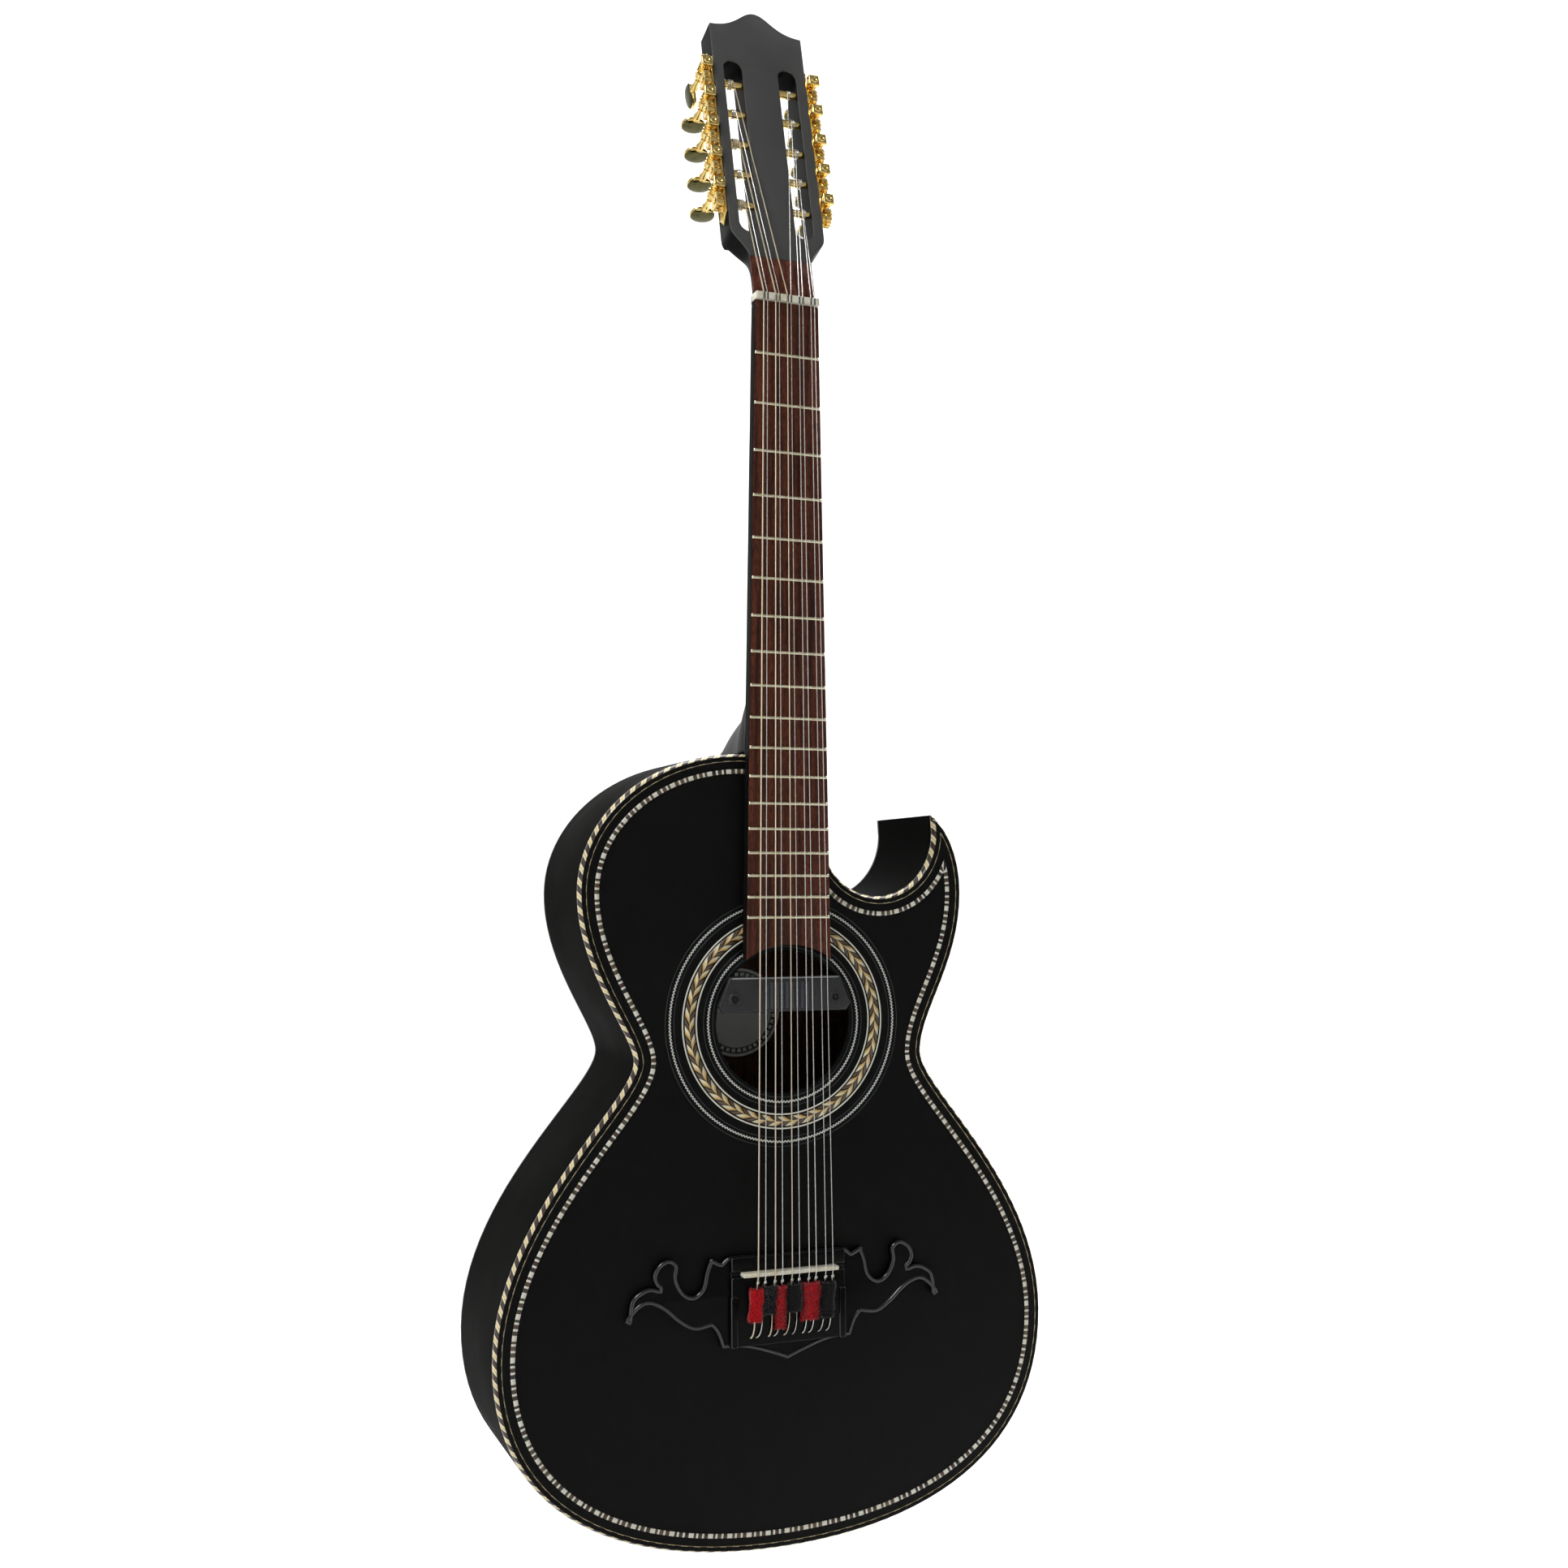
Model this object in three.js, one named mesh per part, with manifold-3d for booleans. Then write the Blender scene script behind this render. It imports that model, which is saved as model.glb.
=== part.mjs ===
// Ten-string cutaway bajo quinto: a flat-top body, a slotted head with two rows of worm tuners,
// and five double courses. Millimetres, +Z up along the neck, the soundboard facing -Y.
// The origin is the middle of the nut's playing edge, in the plane of the fingerboard's face.

import * as THREE from 'three';
import { mergeVertices } from 'three/addons/utils/BufferGeometryUtils.js';
import Module from 'manifold-3d';

const wasm = await Module();
wasm.setup();

// Clearances
const GAP = 0.3; // between pieces that touch
const BORE_GAP = 0.3; // round a shaft in its bore

// Strings and frets
const SCALE = 650;
const SADDLE_SETBACK = 8; // extra string length at the saddle
const STRING_RADII = [0.6, 0.36, 0.55, 0.34, 0.45, 0.3, 0.36, 0.36, 0.3, 0.3];
const NUT_COURSE_PITCH = 8.6;
const NUT_PAIR_PITCH = 2.6;
const NUT_SHIFT = 0.8; // the courses sit a little towards the treble side
const SADDLE_COURSE_PITCH = 12.2;
const SADDLE_PAIR_PITCH = 5.2;
const SADDLE_SHIFT = 2.6;
const NUT_STRING_HEIGHT = 2.2; // string centre over the fingerboard's face
const SADDLE_STRING_HEIGHT = 4.4;
const BODY_FRET = 11; // the body starts just past this fret
const BODY_FRET_MARGIN = 3.7;

// Fingerboard and neck
const NUT_WIDTH = 46.4;
const WIDTH_GROWTH = 0.0338; // per millimetre of length
const FINGERBOARD_THICKNESS = 6.5;
const NECK_DEPTH_AT_NUT = 12.5; // wood under the fingerboard
const NECK_DEPTH_AT_HEEL = 17.5;
const NUT_LENGTH = 5;
const TONGUE_THICKNESS = 2.9; // neck wood between the fingerboard and the soundboard
const HEEL_LENGTH = 44;
const HEEL_CAP_THICKNESS = 2.5;
const HEEL_CAP_HALF = 15;

// Body outline, measured down from the body's top edge
const UPPER_DROP = 94;
const WAIST_DROP = 206;
const LOWER_DROP = 394;
const BODY_LENGTH = 536.5;
const UPPER_HALF = 143.2;
const WAIST_HALF = 104.5;
const LOWER_HALF = 198.3;
const HEEL_SEAT_HALF = 29; // flat top edge that the heel meets
const HORN_HALF = 136.6;
const HORN_CENTRE_X = 100;
const HORN_RISE = 59; // height of the horn's quarter ellipse over the upper bout line
const SCOOP_CLEARANCE_DROP = 52; // where the scoop's straight walls turn into its bowl
const SCOOP_BOWL_DEPTH = 45;
const SCOOP_WIDTH = 86;

// Body build
const DEPTH_AT_HEEL = 95;
const DEPTH_AT_TAIL = 118;
const TOP_THICKNESS = 3;
const BACK_THICKNESS = 3;
const SIDE_THICKNESS = 3;
const LINING_WIDTH = 6;
const LINING_HEIGHT = 10;
const HOLE_DROP = 182;
const HOLE_RADIUS = 48.5;
const HOLE_RIM = 4; // soundboard left showing between the fingerboard's end and the hole
const NECK_BLOCK_LENGTH = 42;
const NECK_BLOCK_HALF = 25;
const TAIL_BLOCK_LENGTH = 20;
const TAIL_BLOCK_HALF = 32;
const BRACE_WIDTH = 7;
const BRACE_HEIGHT = 14;
const FAN_BRACE_LENGTH = 190;
const FAN_BRACE_SPREAD = 46;
const FAN_BRACE_ANGLE = THREE.MathUtils.degToRad(9);

// Bridge, saddle and mute
const BRIDGE_BASE_THICKNESS = 4.5;
const BRIDGE_BLOCK_THICKNESS = 3.6;
const BRIDGE_BLOCK_HALF = 41;
const BRIDGE_FRONT_MARGIN = 12; // bridge wood in front of the saddle
const BRIDGE_BLOCK_LENGTH = 60;
const SADDLE_HALF = 34.4;
const SADDLE_THICKNESS = 3;
const SADDLE_SLOT_DEPTH = 4;
const TIE_DROP = 44; // from the saddle to the string holes
const TIE_HOLE_RADIUS = 1.3;
const TIE_SHIFT = -1.5;
const MUTE_LENGTH = 28;
const MUTE_THICKNESS = 1;

// Pickup in the soundhole
const PICKUP_OVERHANG = 10.7; // reach of each end past the hole's rim, level with the upper edge
const PICKUP_LENGTH = 24;
const PICKUP_RISE = 31; // upper edge over the hole's centre
const PICKUP_LIP = 3.7;
const PICKUP_BODY_DEPTH = 14;

// End jack
const JACK_FLANGE_RADIUS = 9;
const JACK_FLANGE_LENGTH = 9;
const JACK_SHANK_RADIUS = 6;

// Head
const HEAD_TILT = THREE.MathUtils.degToRad(15);
const HEAD_DROP = 3.5; // head face below the fingerboard's face, at the nut
const HEAD_THICKNESS = 20;
const HEAD_PLATE_THICKNESS = 1.2;
const HEAD_ROOT_LENGTH = 30; // bare wood below the head plate
const HEAD_ROOT_HALF = 22.8;
const HEAD_HALF = 35;
const HEAD_SHOULDER = 52;
const HEAD_LENGTH = 220;
const CROWN_RISE = 15;
const SLOT_CENTRE = 20.7;
const SLOT_HALF = 7.5;
const SLOT_START = 49;
const SLOT_END = 191;

// Tuners
const TUNER_COUNT = 5; // on each side
const TUNER_START = 73.4;
const TUNER_PITCH = 25;
const ROLLER_DEPTH = 5;
const ROLLER_RADIUS = 2.8;
const ROLLER_INNER_END = 8.5;
const PLATE_THICKNESS = 1.5;
const PLATE_HALF_WIDTH = 7;
const PLATE_DEPTH = 8.5;
const PLATE_MARGIN = 13;
const GEAR_RADIUS = 6.8;
const GEAR_THICKNESS = 4;
const GEAR_STANDOFF = 2.2;
const WORM_RADIUS = 3.8;
const WORM_LENGTH = 7.6;
const WORM_CLEARANCE = 0.4;
const SHAFT_RADIUS = 1.8;
const LUG_LENGTH = 4;
const LUG_WEB_HALF = 2.4;
const BUTTON_NECK_RADIUS = 2.9;
const BUTTON_NECK_LENGTH = 15;
const BUTTON_HALF_WIDTH = 9;
const BUTTON_HALF_LENGTH = 8;
const BUTTON_HALF_THICKNESS = 2.9;

// Derived places
const fretZ = (n) => -SCALE * (1 - 2 ** (-n / 12));
const bodyTop = fretZ(BODY_FRET) - BODY_FRET_MARGIN;
const upperZ = bodyTop - UPPER_DROP;
const waistZ = bodyTop - WAIST_DROP;
const lowerZ = bodyTop - LOWER_DROP;
const tailZ = bodyTop - BODY_LENGTH;
const holeZ = bodyTop - HOLE_DROP;
const saddleZ = -(SCALE + SADDLE_SETBACK);
const neckTop = FINGERBOARD_THICKNESS + GAP;
const soundboardFront = neckTop + TONGUE_THICKNESS + GAP;
const soundboardBack = soundboardFront + TOP_THICKNESS;
const halfWidth = (z) => (NUT_WIDTH - WIDTH_GROWTH * z) / 2;
const backOuter = (z) => soundboardFront
  + THREE.MathUtils.mapLinear(z, bodyTop, tailZ, DEPTH_AT_HEEL, DEPTH_AT_TAIL);
const backInner = (z) => backOuter(z) - BACK_THICKNESS;

const finish = (color, roughness, metalness = 0) => ({ color, roughness, metalness });
const LACQUER = finish(0x0b0b0c, 0.18);
const ROSEWOOD = finish(0x4a1d12, 0.5);
const SPRUCE = finish(0xcfae7a, 0.7);
const GOLD = finish(0xd9a441, 0.25, 1);
const STEEL = finish(0xc9ccd0, 0.25, 1);
const BRONZE = finish(0xb98a4e, 0.35, 1);
const BONE = finish(0xeee6d0, 0.4);
const PLASTIC = finish(0x101012, 0.35);
const VELVET = finish(0xa30f1e, 0.95);

const group = new THREE.Group();

function addPart(name, geometry, look, parent = group) {
  const flat = geometry.index ? geometry.toNonIndexed() : geometry;
  flat.computeVertexNormals();
  const mesh = new THREE.Mesh(flat, new THREE.MeshStandardMaterial(look));
  mesh.name = name;
  parent.add(mesh);
  return mesh;
}

// A closed triangle mesh as a solid for cutting and joining.
function toSolid(geometry) {
  const bare = new THREE.BufferGeometry();
  bare.setAttribute('position', geometry.attributes.position);
  bare.setIndex(geometry.index);
  const merged = mergeVertices(bare, 1e-4);
  const corners = merged.index.array;
  const kept = [];
  for (let i = 0; i < corners.length; i += 3) {
    const [a, b, c] = corners.slice(i, i + 3);
    if (a !== b && b !== c && c !== a) kept.push(a, b, c);
  }
  return new wasm.Manifold(new wasm.Mesh({
    numProp: 3,
    vertProperties: new Float32Array(merged.attributes.position.array),
    triVerts: new Uint32Array(kept),
  }));
}

function toGeometry(solid) {
  const mesh = solid.getMesh();
  const geometry = new THREE.BufferGeometry();
  geometry.setAttribute('position', new THREE.BufferAttribute(mesh.vertProperties, 3));
  geometry.setIndex(new THREE.BufferAttribute(mesh.triVerts, 1));
  return geometry;
}

function cut(geometry, ...tools) {
  return toGeometry(tools.reduce((solid, tool) => solid.subtract(toSolid(tool)), toSolid(geometry)));
}

function join(geometry, ...others) {
  return toGeometry(others.reduce((solid, other) => solid.add(toSolid(other)), toSolid(geometry)));
}

function common(geometry, other) {
  return toGeometry(toSolid(geometry).intersect(toSolid(other)));
}

const levelAt = (level, z) => (typeof level === 'function' ? level(z) : level);

// A plate with its outline drawn in x and z, between a front and a back level in y.
function plate(shape, front, back, curveSegments = 6) {
  const geometry = new THREE.ExtrudeGeometry(shape, { depth: 1, bevelEnabled: false, curveSegments });
  geometry.rotateX(Math.PI / 2);
  const position = geometry.attributes.position;
  for (let i = 0; i < position.count; i++) {
    const z = position.getZ(i);
    position.setY(i, THREE.MathUtils.lerp(levelAt(back, z), levelAt(front, z), -position.getY(i)));
  }
  return geometry;
}

function box(low, high) {
  const size = high.map((value, axis) => value - low[axis]);
  const middle = high.map((value, axis) => (value + low[axis]) / 2);
  return new THREE.BoxGeometry(...size).translate(...middle);
}

// A round bar between two levels on an axis through the given point.
function bar(radius, from, to, axis, centre, segments = 12) {
  const geometry = new THREE.CylinderGeometry(radius, radius, to - from, segments);
  geometry.translate(0, (from + to) / 2, 0);
  if (axis === 'x') geometry.rotateZ(-Math.PI / 2);
  if (axis === 'z') geometry.rotateX(Math.PI / 2);
  return geometry.translate(...centre);
}

// A closed skin over rings with the same number of points, with flat caps at both ends.
function loft(rings) {
  const count = rings[0].length;
  const points = rings.flat();
  const faces = [];
  for (let r = 0; r + 1 < rings.length; r++) {
    for (let i = 0; i < count; i++) {
      const a = r * count + i;
      const b = r * count + ((i + 1) % count);
      faces.push(a, b, b + count, a, b + count, a + count);
    }
  }
  const last = points.length - count;
  for (let i = 1; i + 1 < count; i++) {
    faces.push(0, i + 1, i, last, last + i, last + i + 1);
  }
  const volume = faces.reduce((sum, _, i) => (i % 3 ? sum : sum
    + points[faces[i]].dot(points[faces[i + 1]].clone().cross(points[faces[i + 2]]))), 0);
  if (volume < 0) faces.reverse();
  const geometry = new THREE.BufferGeometry().setFromPoints(points);
  geometry.setIndex(faces);
  return geometry;
}

const shapeFrom = (points) => new THREE.Shape(points.map(([x, z]) => new THREE.Vector2(x, z)));

// --- Body outline ---------------------------------------------------------------------------

const ROUND = 0.5523; // handle length of a quarter round
const scoopCentre = HEEL_SEAT_HALF + SCOOP_WIDTH / 2;
const scoopOuter = HEEL_SEAT_HALF + SCOOP_WIDTH;
const scoopTurn = bodyTop - SCOOP_CLEARANCE_DROP;
const scoopFloor = scoopTurn - SCOOP_BOWL_DEPTH;
const hornTip = [
  scoopOuter - 1,
  upperZ + HORN_RISE * Math.sqrt(1 - ((scoopOuter - 1 - HORN_CENTRE_X) / (HORN_HALF - HORN_CENTRE_X)) ** 2),
];

// A quarter round that leaves its start along x (or along z) and ends at right angles to that.
function quarter(path, [x0, z0], [x1, z1], startsAlongX) {
  const handles = startsAlongX
    ? [x0 + (x1 - x0) * ROUND, z0, x1, z1 + (z0 - z1) * ROUND]
    : [x0, z0 + (z1 - z0) * ROUND, x1 + (x0 - x1) * ROUND, z1];
  path.bezierCurveTo(...handles, x1, z1);
}

function bodyOutline() {
  const path = new THREE.Path();
  path.moveTo(HEEL_SEAT_HALF, bodyTop);
  path.lineTo(-HEEL_SEAT_HALF, bodyTop);
  quarter(path, [-HEEL_SEAT_HALF, bodyTop], [-UPPER_HALF, upperZ], true);
  path.bezierCurveTo(-UPPER_HALF, upperZ - 51, -WAIST_HALF, waistZ + 18, -WAIST_HALF, waistZ);
  path.bezierCurveTo(-WAIST_HALF, waistZ - 26, -LOWER_HALF, lowerZ + 92, -LOWER_HALF, lowerZ);
  path.bezierCurveTo(-LOWER_HALF, lowerZ - 95, -0.6 * LOWER_HALF, tailZ, 0, tailZ);
  path.bezierCurveTo(0.6 * LOWER_HALF, tailZ, LOWER_HALF, lowerZ - 95, LOWER_HALF, lowerZ);
  path.bezierCurveTo(LOWER_HALF, lowerZ + 92, WAIST_HALF, waistZ - 26, WAIST_HALF, waistZ);
  path.bezierCurveTo(WAIST_HALF, waistZ + 28, HORN_HALF, upperZ - 51, HORN_HALF, upperZ);
  const tipAngle = Math.atan2((hornTip[1] - upperZ) / HORN_RISE,
    (hornTip[0] - HORN_CENTRE_X) / (HORN_HALF - HORN_CENTRE_X));
  const steps = 6;
  for (let i = 1; i <= steps; i++) {
    const angle = (tipAngle * i) / steps;
    path.lineTo(HORN_CENTRE_X + (HORN_HALF - HORN_CENTRE_X) * Math.cos(angle),
      upperZ + HORN_RISE * Math.sin(angle));
  }
  path.lineTo(scoopOuter, scoopTurn);
  quarter(path, [scoopOuter, scoopTurn], [scoopCentre, scoopFloor], false);
  quarter(path, [scoopCentre, scoopFloor], [HEEL_SEAT_HALF, scoopTurn], true);
  path.lineTo(HEEL_SEAT_HALF, bodyTop);
  return path.getPoints(10).slice(0, -1);
}

// Subdivides long straight stretches, so that an inset line keeps its corners.
function densified(points, step) {
  return points.flatMap((point, i) => {
    const next = points[(i + 1) % points.length];
    const parts = Math.max(1, Math.round(point.distanceTo(next) / step));
    return Array.from({ length: parts }, (_, k) => point.clone().lerp(next, k / parts));
  });
}

function distanceToLoop(point, loop) {
  const line = new THREE.Line3();
  const nearest = new THREE.Vector3();
  const probe = new THREE.Vector3(point.x, point.y, 0);
  return Math.min(...loop.map((start, i) => {
    const end = loop[(i + 1) % loop.length];
    line.start.set(start.x, start.y, 0);
    line.end.set(end.x, end.y, 0);
    return line.closestPointToPoint(probe, true, nearest).distanceTo(probe);
  }));
}

// Where the line through a and b meets the line through c and d: no point where they are parallel.
function crossing(a, b, c, d) {
  const along = b.clone().sub(a);
  const other = d.clone().sub(c);
  const turn = along.cross(other);
  if (Math.abs(turn) < 1e-6) return [];
  return [a.clone().addScaledVector(along, c.clone().sub(a).cross(other) / turn)];
}

// The outline moved inwards by a distance. Points that a corner folds over are left out, and the
// lines on the two sides of the fold are cut off where they cross.
function inset(loop, distance) {
  const dense = densified(loop, 9);
  const count = dense.length;
  const inward = THREE.ShapeUtils.isClockWise(dense) ? -1 : 1;
  const normal = (from, to) => new THREE.Vector2(from.y - to.y, to.x - from.x).normalize();
  const moved = dense.map((point, i) => {
    const first = normal(dense[(i + count - 1) % count], point);
    const middle = first.clone().add(normal(point, dense[(i + 1) % count])).normalize();
    return point.clone().addScaledVector(middle, (inward * distance) / middle.dot(first));
  });
  const kept = moved.map((point) => distanceToLoop(point, loop) > distance * 0.999);
  return moved.flatMap((point, i) => {
    if (!kept[i]) return [];
    if (kept[(i + 1) % count]) return [point];
    let next = i + 1;
    while (!kept[next % count]) next += 1;
    const [before, after] = [moved[(next - 1) % count], moved[next % count]];
    return [point, ...crossing(point, moved[(i + 1) % count], before, after)];
  });
}

const outline = bodyOutline();
const ring = (outer, inner) => {
  const shape = new THREE.Shape(outer);
  shape.holes.push(new THREE.Path(inner));
  return shape;
};

// --- Soundbox -------------------------------------------------------------------------------

const sideFront = soundboardBack + GAP;
const sideBack = (z) => backInner(z) - GAP;
const insideSides = inset(outline, SIDE_THICKNESS);
const blockLine = inset(outline, SIDE_THICKNESS + GAP);
const liningInner = inset(outline, SIDE_THICKNESS + GAP + LINING_WIDTH);
const braceLine = inset(outline, SIDE_THICKNESS + GAP + LINING_WIDTH + GAP);
const neckBlockEnd = bodyTop - SIDE_THICKNESS - GAP - NECK_BLOCK_LENGTH;
const jackDepth = (soundboardFront + backOuter(tailZ)) / 2;

function buildSoundboard() {
  const shape = new THREE.Shape(outline);
  const hole = new THREE.Path();
  hole.absarc(0, holeZ, HOLE_RADIUS, 0, 2 * Math.PI, true);
  shape.holes.push(hole);
  addPart('soundboard', plate(shape, soundboardFront, soundboardBack, 24), LACQUER);
  addPart('back_plate', plate(new THREE.Shape(outline), backInner, backOuter), LACQUER);
}

// The sides are three bent strips that meet under the heel, at the horn's tip and at the tail.
function buildSides() {
  const wall = plate(ring(outline, insideSides), sideFront, sideBack);
  const half = GAP / 2;
  const far = BODY_LENGTH * 2;
  const roof = bodyTop + far;
  const hollowTip = insideSides.filter((point) => point.x > scoopOuter)
    .reduce((high, point) => (point.y > high.y ? point : high));
  const hornInner = [scoopCentre + 20, scoopFloor - 25];
  const seam = [[hornTip[0] - 7, roof], [hornTip[0] - 0.5, hornTip[1] + 1], [hollowTip.x, hollowTip.y],
    [hollowTip.x + 3.4, hollowTip.y - 10], hornInner];
  const between = (shift) => seam.map(([x, z]) => [x + shift, z]);
  const regions = {
    bass_side: [[-half, roof], [-far, roof], [-far, -far], [-half, -far]],
    cutaway_side: [[half, roof], ...between(-half), [half, hornInner[1]]],
    treble_side: [[far, roof], ...between(half), [half, hornInner[1]], [half, -far], [far, -far]],
  };
  const jackHole = bar(JACK_SHANK_RADIUS + BORE_GAP, tailZ - 20, tailZ + 60, 'z', [0, jackDepth, 0]);
  for (const [name, corners] of Object.entries(regions)) {
    const region = plate(shapeFrom(corners), 0, 2 * DEPTH_AT_TAIL);
    addPart(name, cut(common(wall, region), jackHole), LACQUER);
  }
}

function buildBlocks() {
  const inside = plate(new THREE.Shape(blockLine), sideFront, sideBack);
  const neckBlock = box([-NECK_BLOCK_HALF, 0, neckBlockEnd], [NECK_BLOCK_HALF, 2 * DEPTH_AT_TAIL, bodyTop]);
  addPart('neck_block', common(inside, neckBlock), SPRUCE);
  const tailFront = sideFront + LINING_HEIGHT + GAP;
  const tailInside = plate(new THREE.Shape(blockLine), tailFront, (z) => sideBack(z) - LINING_HEIGHT - GAP);
  const tailBlock = box([-TAIL_BLOCK_HALF, 0, tailZ],
    [TAIL_BLOCK_HALF, 2 * DEPTH_AT_TAIL, tailZ + SIDE_THICKNESS + GAP + TAIL_BLOCK_LENGTH]);
  const jackBore = bar(JACK_SHANK_RADIUS + BORE_GAP, tailZ - 20, tailZ + 60, 'z', [0, jackDepth, 0]);
  addPart('tail_block', cut(common(tailInside, tailBlock), jackBore), SPRUCE);
  const blockRoom = box([-NECK_BLOCK_HALF - GAP, 0, neckBlockEnd - GAP],
    [NECK_BLOCK_HALF + GAP, 2 * DEPTH_AT_TAIL, bodyTop + GAP]);
  const strip = ring(blockLine, liningInner);
  addPart('top_lining', cut(plate(strip, sideFront, sideFront + LINING_HEIGHT), blockRoom), SPRUCE);
  addPart('back_lining', cut(plate(strip, (z) => sideBack(z) - LINING_HEIGHT, sideBack), blockRoom), SPRUCE);
}

// Bars glued under the soundboard and on the back, cut off where the linings start.
function buildBraces() {
  const inside = plate(new THREE.Shape(braceLine), 0, 2 * DEPTH_AT_TAIL);
  const wide = 2 * LOWER_HALF;
  const topBar = (z) => box([-wide, sideFront, z - BRACE_WIDTH / 2],
    [wide, sideFront + BRACE_HEIGHT, z + BRACE_WIDTH / 2]);
  const upperBarZ = (holeZ + HOLE_RADIUS + scoopFloor - SIDE_THICKNESS - LINING_WIDTH) / 2;
  const lowerBarZ = holeZ - HOLE_RADIUS - 16;
  addPart('upper_transverse_brace', common(topBar(upperBarZ), inside), SPRUCE);
  addPart('lower_transverse_brace', common(topBar(lowerBarZ), inside), SPRUCE);
  const fanTop = lowerBarZ - BRACE_WIDTH / 2 - 6;
  for (const side of [-1, 0, 1]) {
    const brace = box([-BRACE_WIDTH / 2, sideFront, -FAN_BRACE_LENGTH],
      [BRACE_WIDTH / 2, sideFront + BRACE_HEIGHT * 0.6, 0]);
    brace.rotateY(-side * FAN_BRACE_ANGLE).translate(side * FAN_BRACE_SPREAD, 0, fanTop);
    addPart(`fan_brace_${side + 2}`, common(brace, inside), SPRUCE);
  }
  [lowerBarZ, lowerZ].forEach((z, i) => {
    const strip = shapeFrom([[-wide, z - BRACE_WIDTH / 2], [wide, z - BRACE_WIDTH / 2],
      [wide, z + BRACE_WIDTH / 2], [-wide, z + BRACE_WIDTH / 2]]);
    const brace = plate(strip, (at) => sideBack(at) - BRACE_HEIGHT, sideBack);
    addPart(`back_brace_${i + 1}`, common(brace, inside), SPRUCE);
  });
}

// --- Neck and fingerboard -------------------------------------------------------------------

const endRadius = HOLE_RADIUS + HOLE_RIM;
const endHalf = halfWidth(holeZ + 0.8 * endRadius);
const neckEnd = bodyTop + GAP;

// The fingerboard's plan from a start line down to its hollow end, which follows the soundhole.
function fingerboardPlan(startZ) {
  const shape = new THREE.Shape();
  const endAngle = Math.acos(endHalf / endRadius);
  shape.moveTo(-halfWidth(startZ), startZ);
  shape.lineTo(-endHalf, holeZ + endRadius * Math.sin(endAngle));
  shape.absarc(0, holeZ, endRadius, Math.PI - endAngle, endAngle, true);
  shape.lineTo(halfWidth(startZ), startZ);
  return shape;
}

// Half an ellipse in the plane of two directions, flat side first.
function halfRound(half, reach, place) {
  const count = 10;
  return Array.from({ length: count + 1 }, (_, i) => {
    const angle = (Math.PI * i) / count;
    return place(-half * Math.cos(angle), reach * Math.sin(angle));
  });
}

function buildNeck() {
  const shaftRing = (z) => {
    const depth = THREE.MathUtils.mapLinear(z, 0, bodyTop, NECK_DEPTH_AT_NUT, NECK_DEPTH_AT_HEEL);
    return halfRound(halfWidth(z), depth, (x, y) => new THREE.Vector3(x, neckTop + y, z));
  };
  const shaft = loft([shaftRing(neckEnd), shaftRing(-1)]);
  const capFront = backOuter(bodyTop) - HEEL_CAP_THICKNESS - GAP;
  const heelRing = (share, half, reach) => halfRound(half, reach * HEEL_LENGTH, (x, rise) => (
    new THREE.Vector3(x, THREE.MathUtils.lerp(neckTop + 1, capFront, share), neckEnd + rise)));
  const heel = loft([[0, 28, 1.5], [0.14, 27, 1.3], [0.24, 25, 1], [0.42, 22, 0.86], [0.64, 19, 0.76],
    [0.84, 16.5, 0.56], [1, HEEL_CAP_HALF, 0.3]].map((row) => heelRing(...row)));
  const tongue = plate(fingerboardPlan(neckEnd + 10), neckTop, neckTop + TONGUE_THICKNESS, 10);
  addPart('neck', join(shaft, heel, tongue), LACQUER);
  const capShape = new THREE.Shape(halfRound(HEEL_CAP_HALF, 0.3 * HEEL_LENGTH,
    (x, rise) => new THREE.Vector2(x, neckEnd + rise)));
  addPart('heel_cap', plate(capShape, capFront + GAP, backOuter(bodyTop)), LACQUER);
}

function buildFingerboard() {
  addPart('fingerboard', plate(fingerboardPlan(-GAP), 0, FINGERBOARD_THICKNESS, 10), ROSEWOOD);
  const nutTop = -NUT_STRING_HEIGHT + Math.max(...STRING_RADII) + GAP;
  const nut = box([-NUT_WIDTH / 2, nutTop, 0], [NUT_WIDTH / 2, FINGERBOARD_THICKNESS, NUT_LENGTH]);
  addPart('nut', nut, BONE);
}

// --- Bridge, saddle, pickup and end jack ------------------------------------------------------

const bridgeBack = soundboardFront - GAP;
const bridgeBaseFront = bridgeBack - BRIDGE_BASE_THICKNESS;
const bridgeBlockFront = bridgeBaseFront - BRIDGE_BLOCK_THICKNESS;
const saddleTop = -SADDLE_STRING_HEIGHT + Math.max(...STRING_RADII) + GAP;

// One half of the scrolled bridge: its lip, the hollow, the curl, the hooked wing and the lower edge.
const BRIDGE_HALF = [[0, 12], [43, 12], [47, 8], [54.5, 11.5], [58, 3], [60.5, -7], [66.5, -12], [73, -9],
  [77.5, 0], [77, 9], [83.5, 13.5], [91, 10], [94.5, 3], [89, -6], [96, -4], [103, -6], [109.5, -12],
  [111, -26.5], [106.5, -20], [100, -15.5], [93.5, -16.5], [86, -21], [77, -29], [66, -35], [54, -33.5],
  [50, -39], [46.5, -48.5], [29, -50], [13, -55], [0, -60]];

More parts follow.
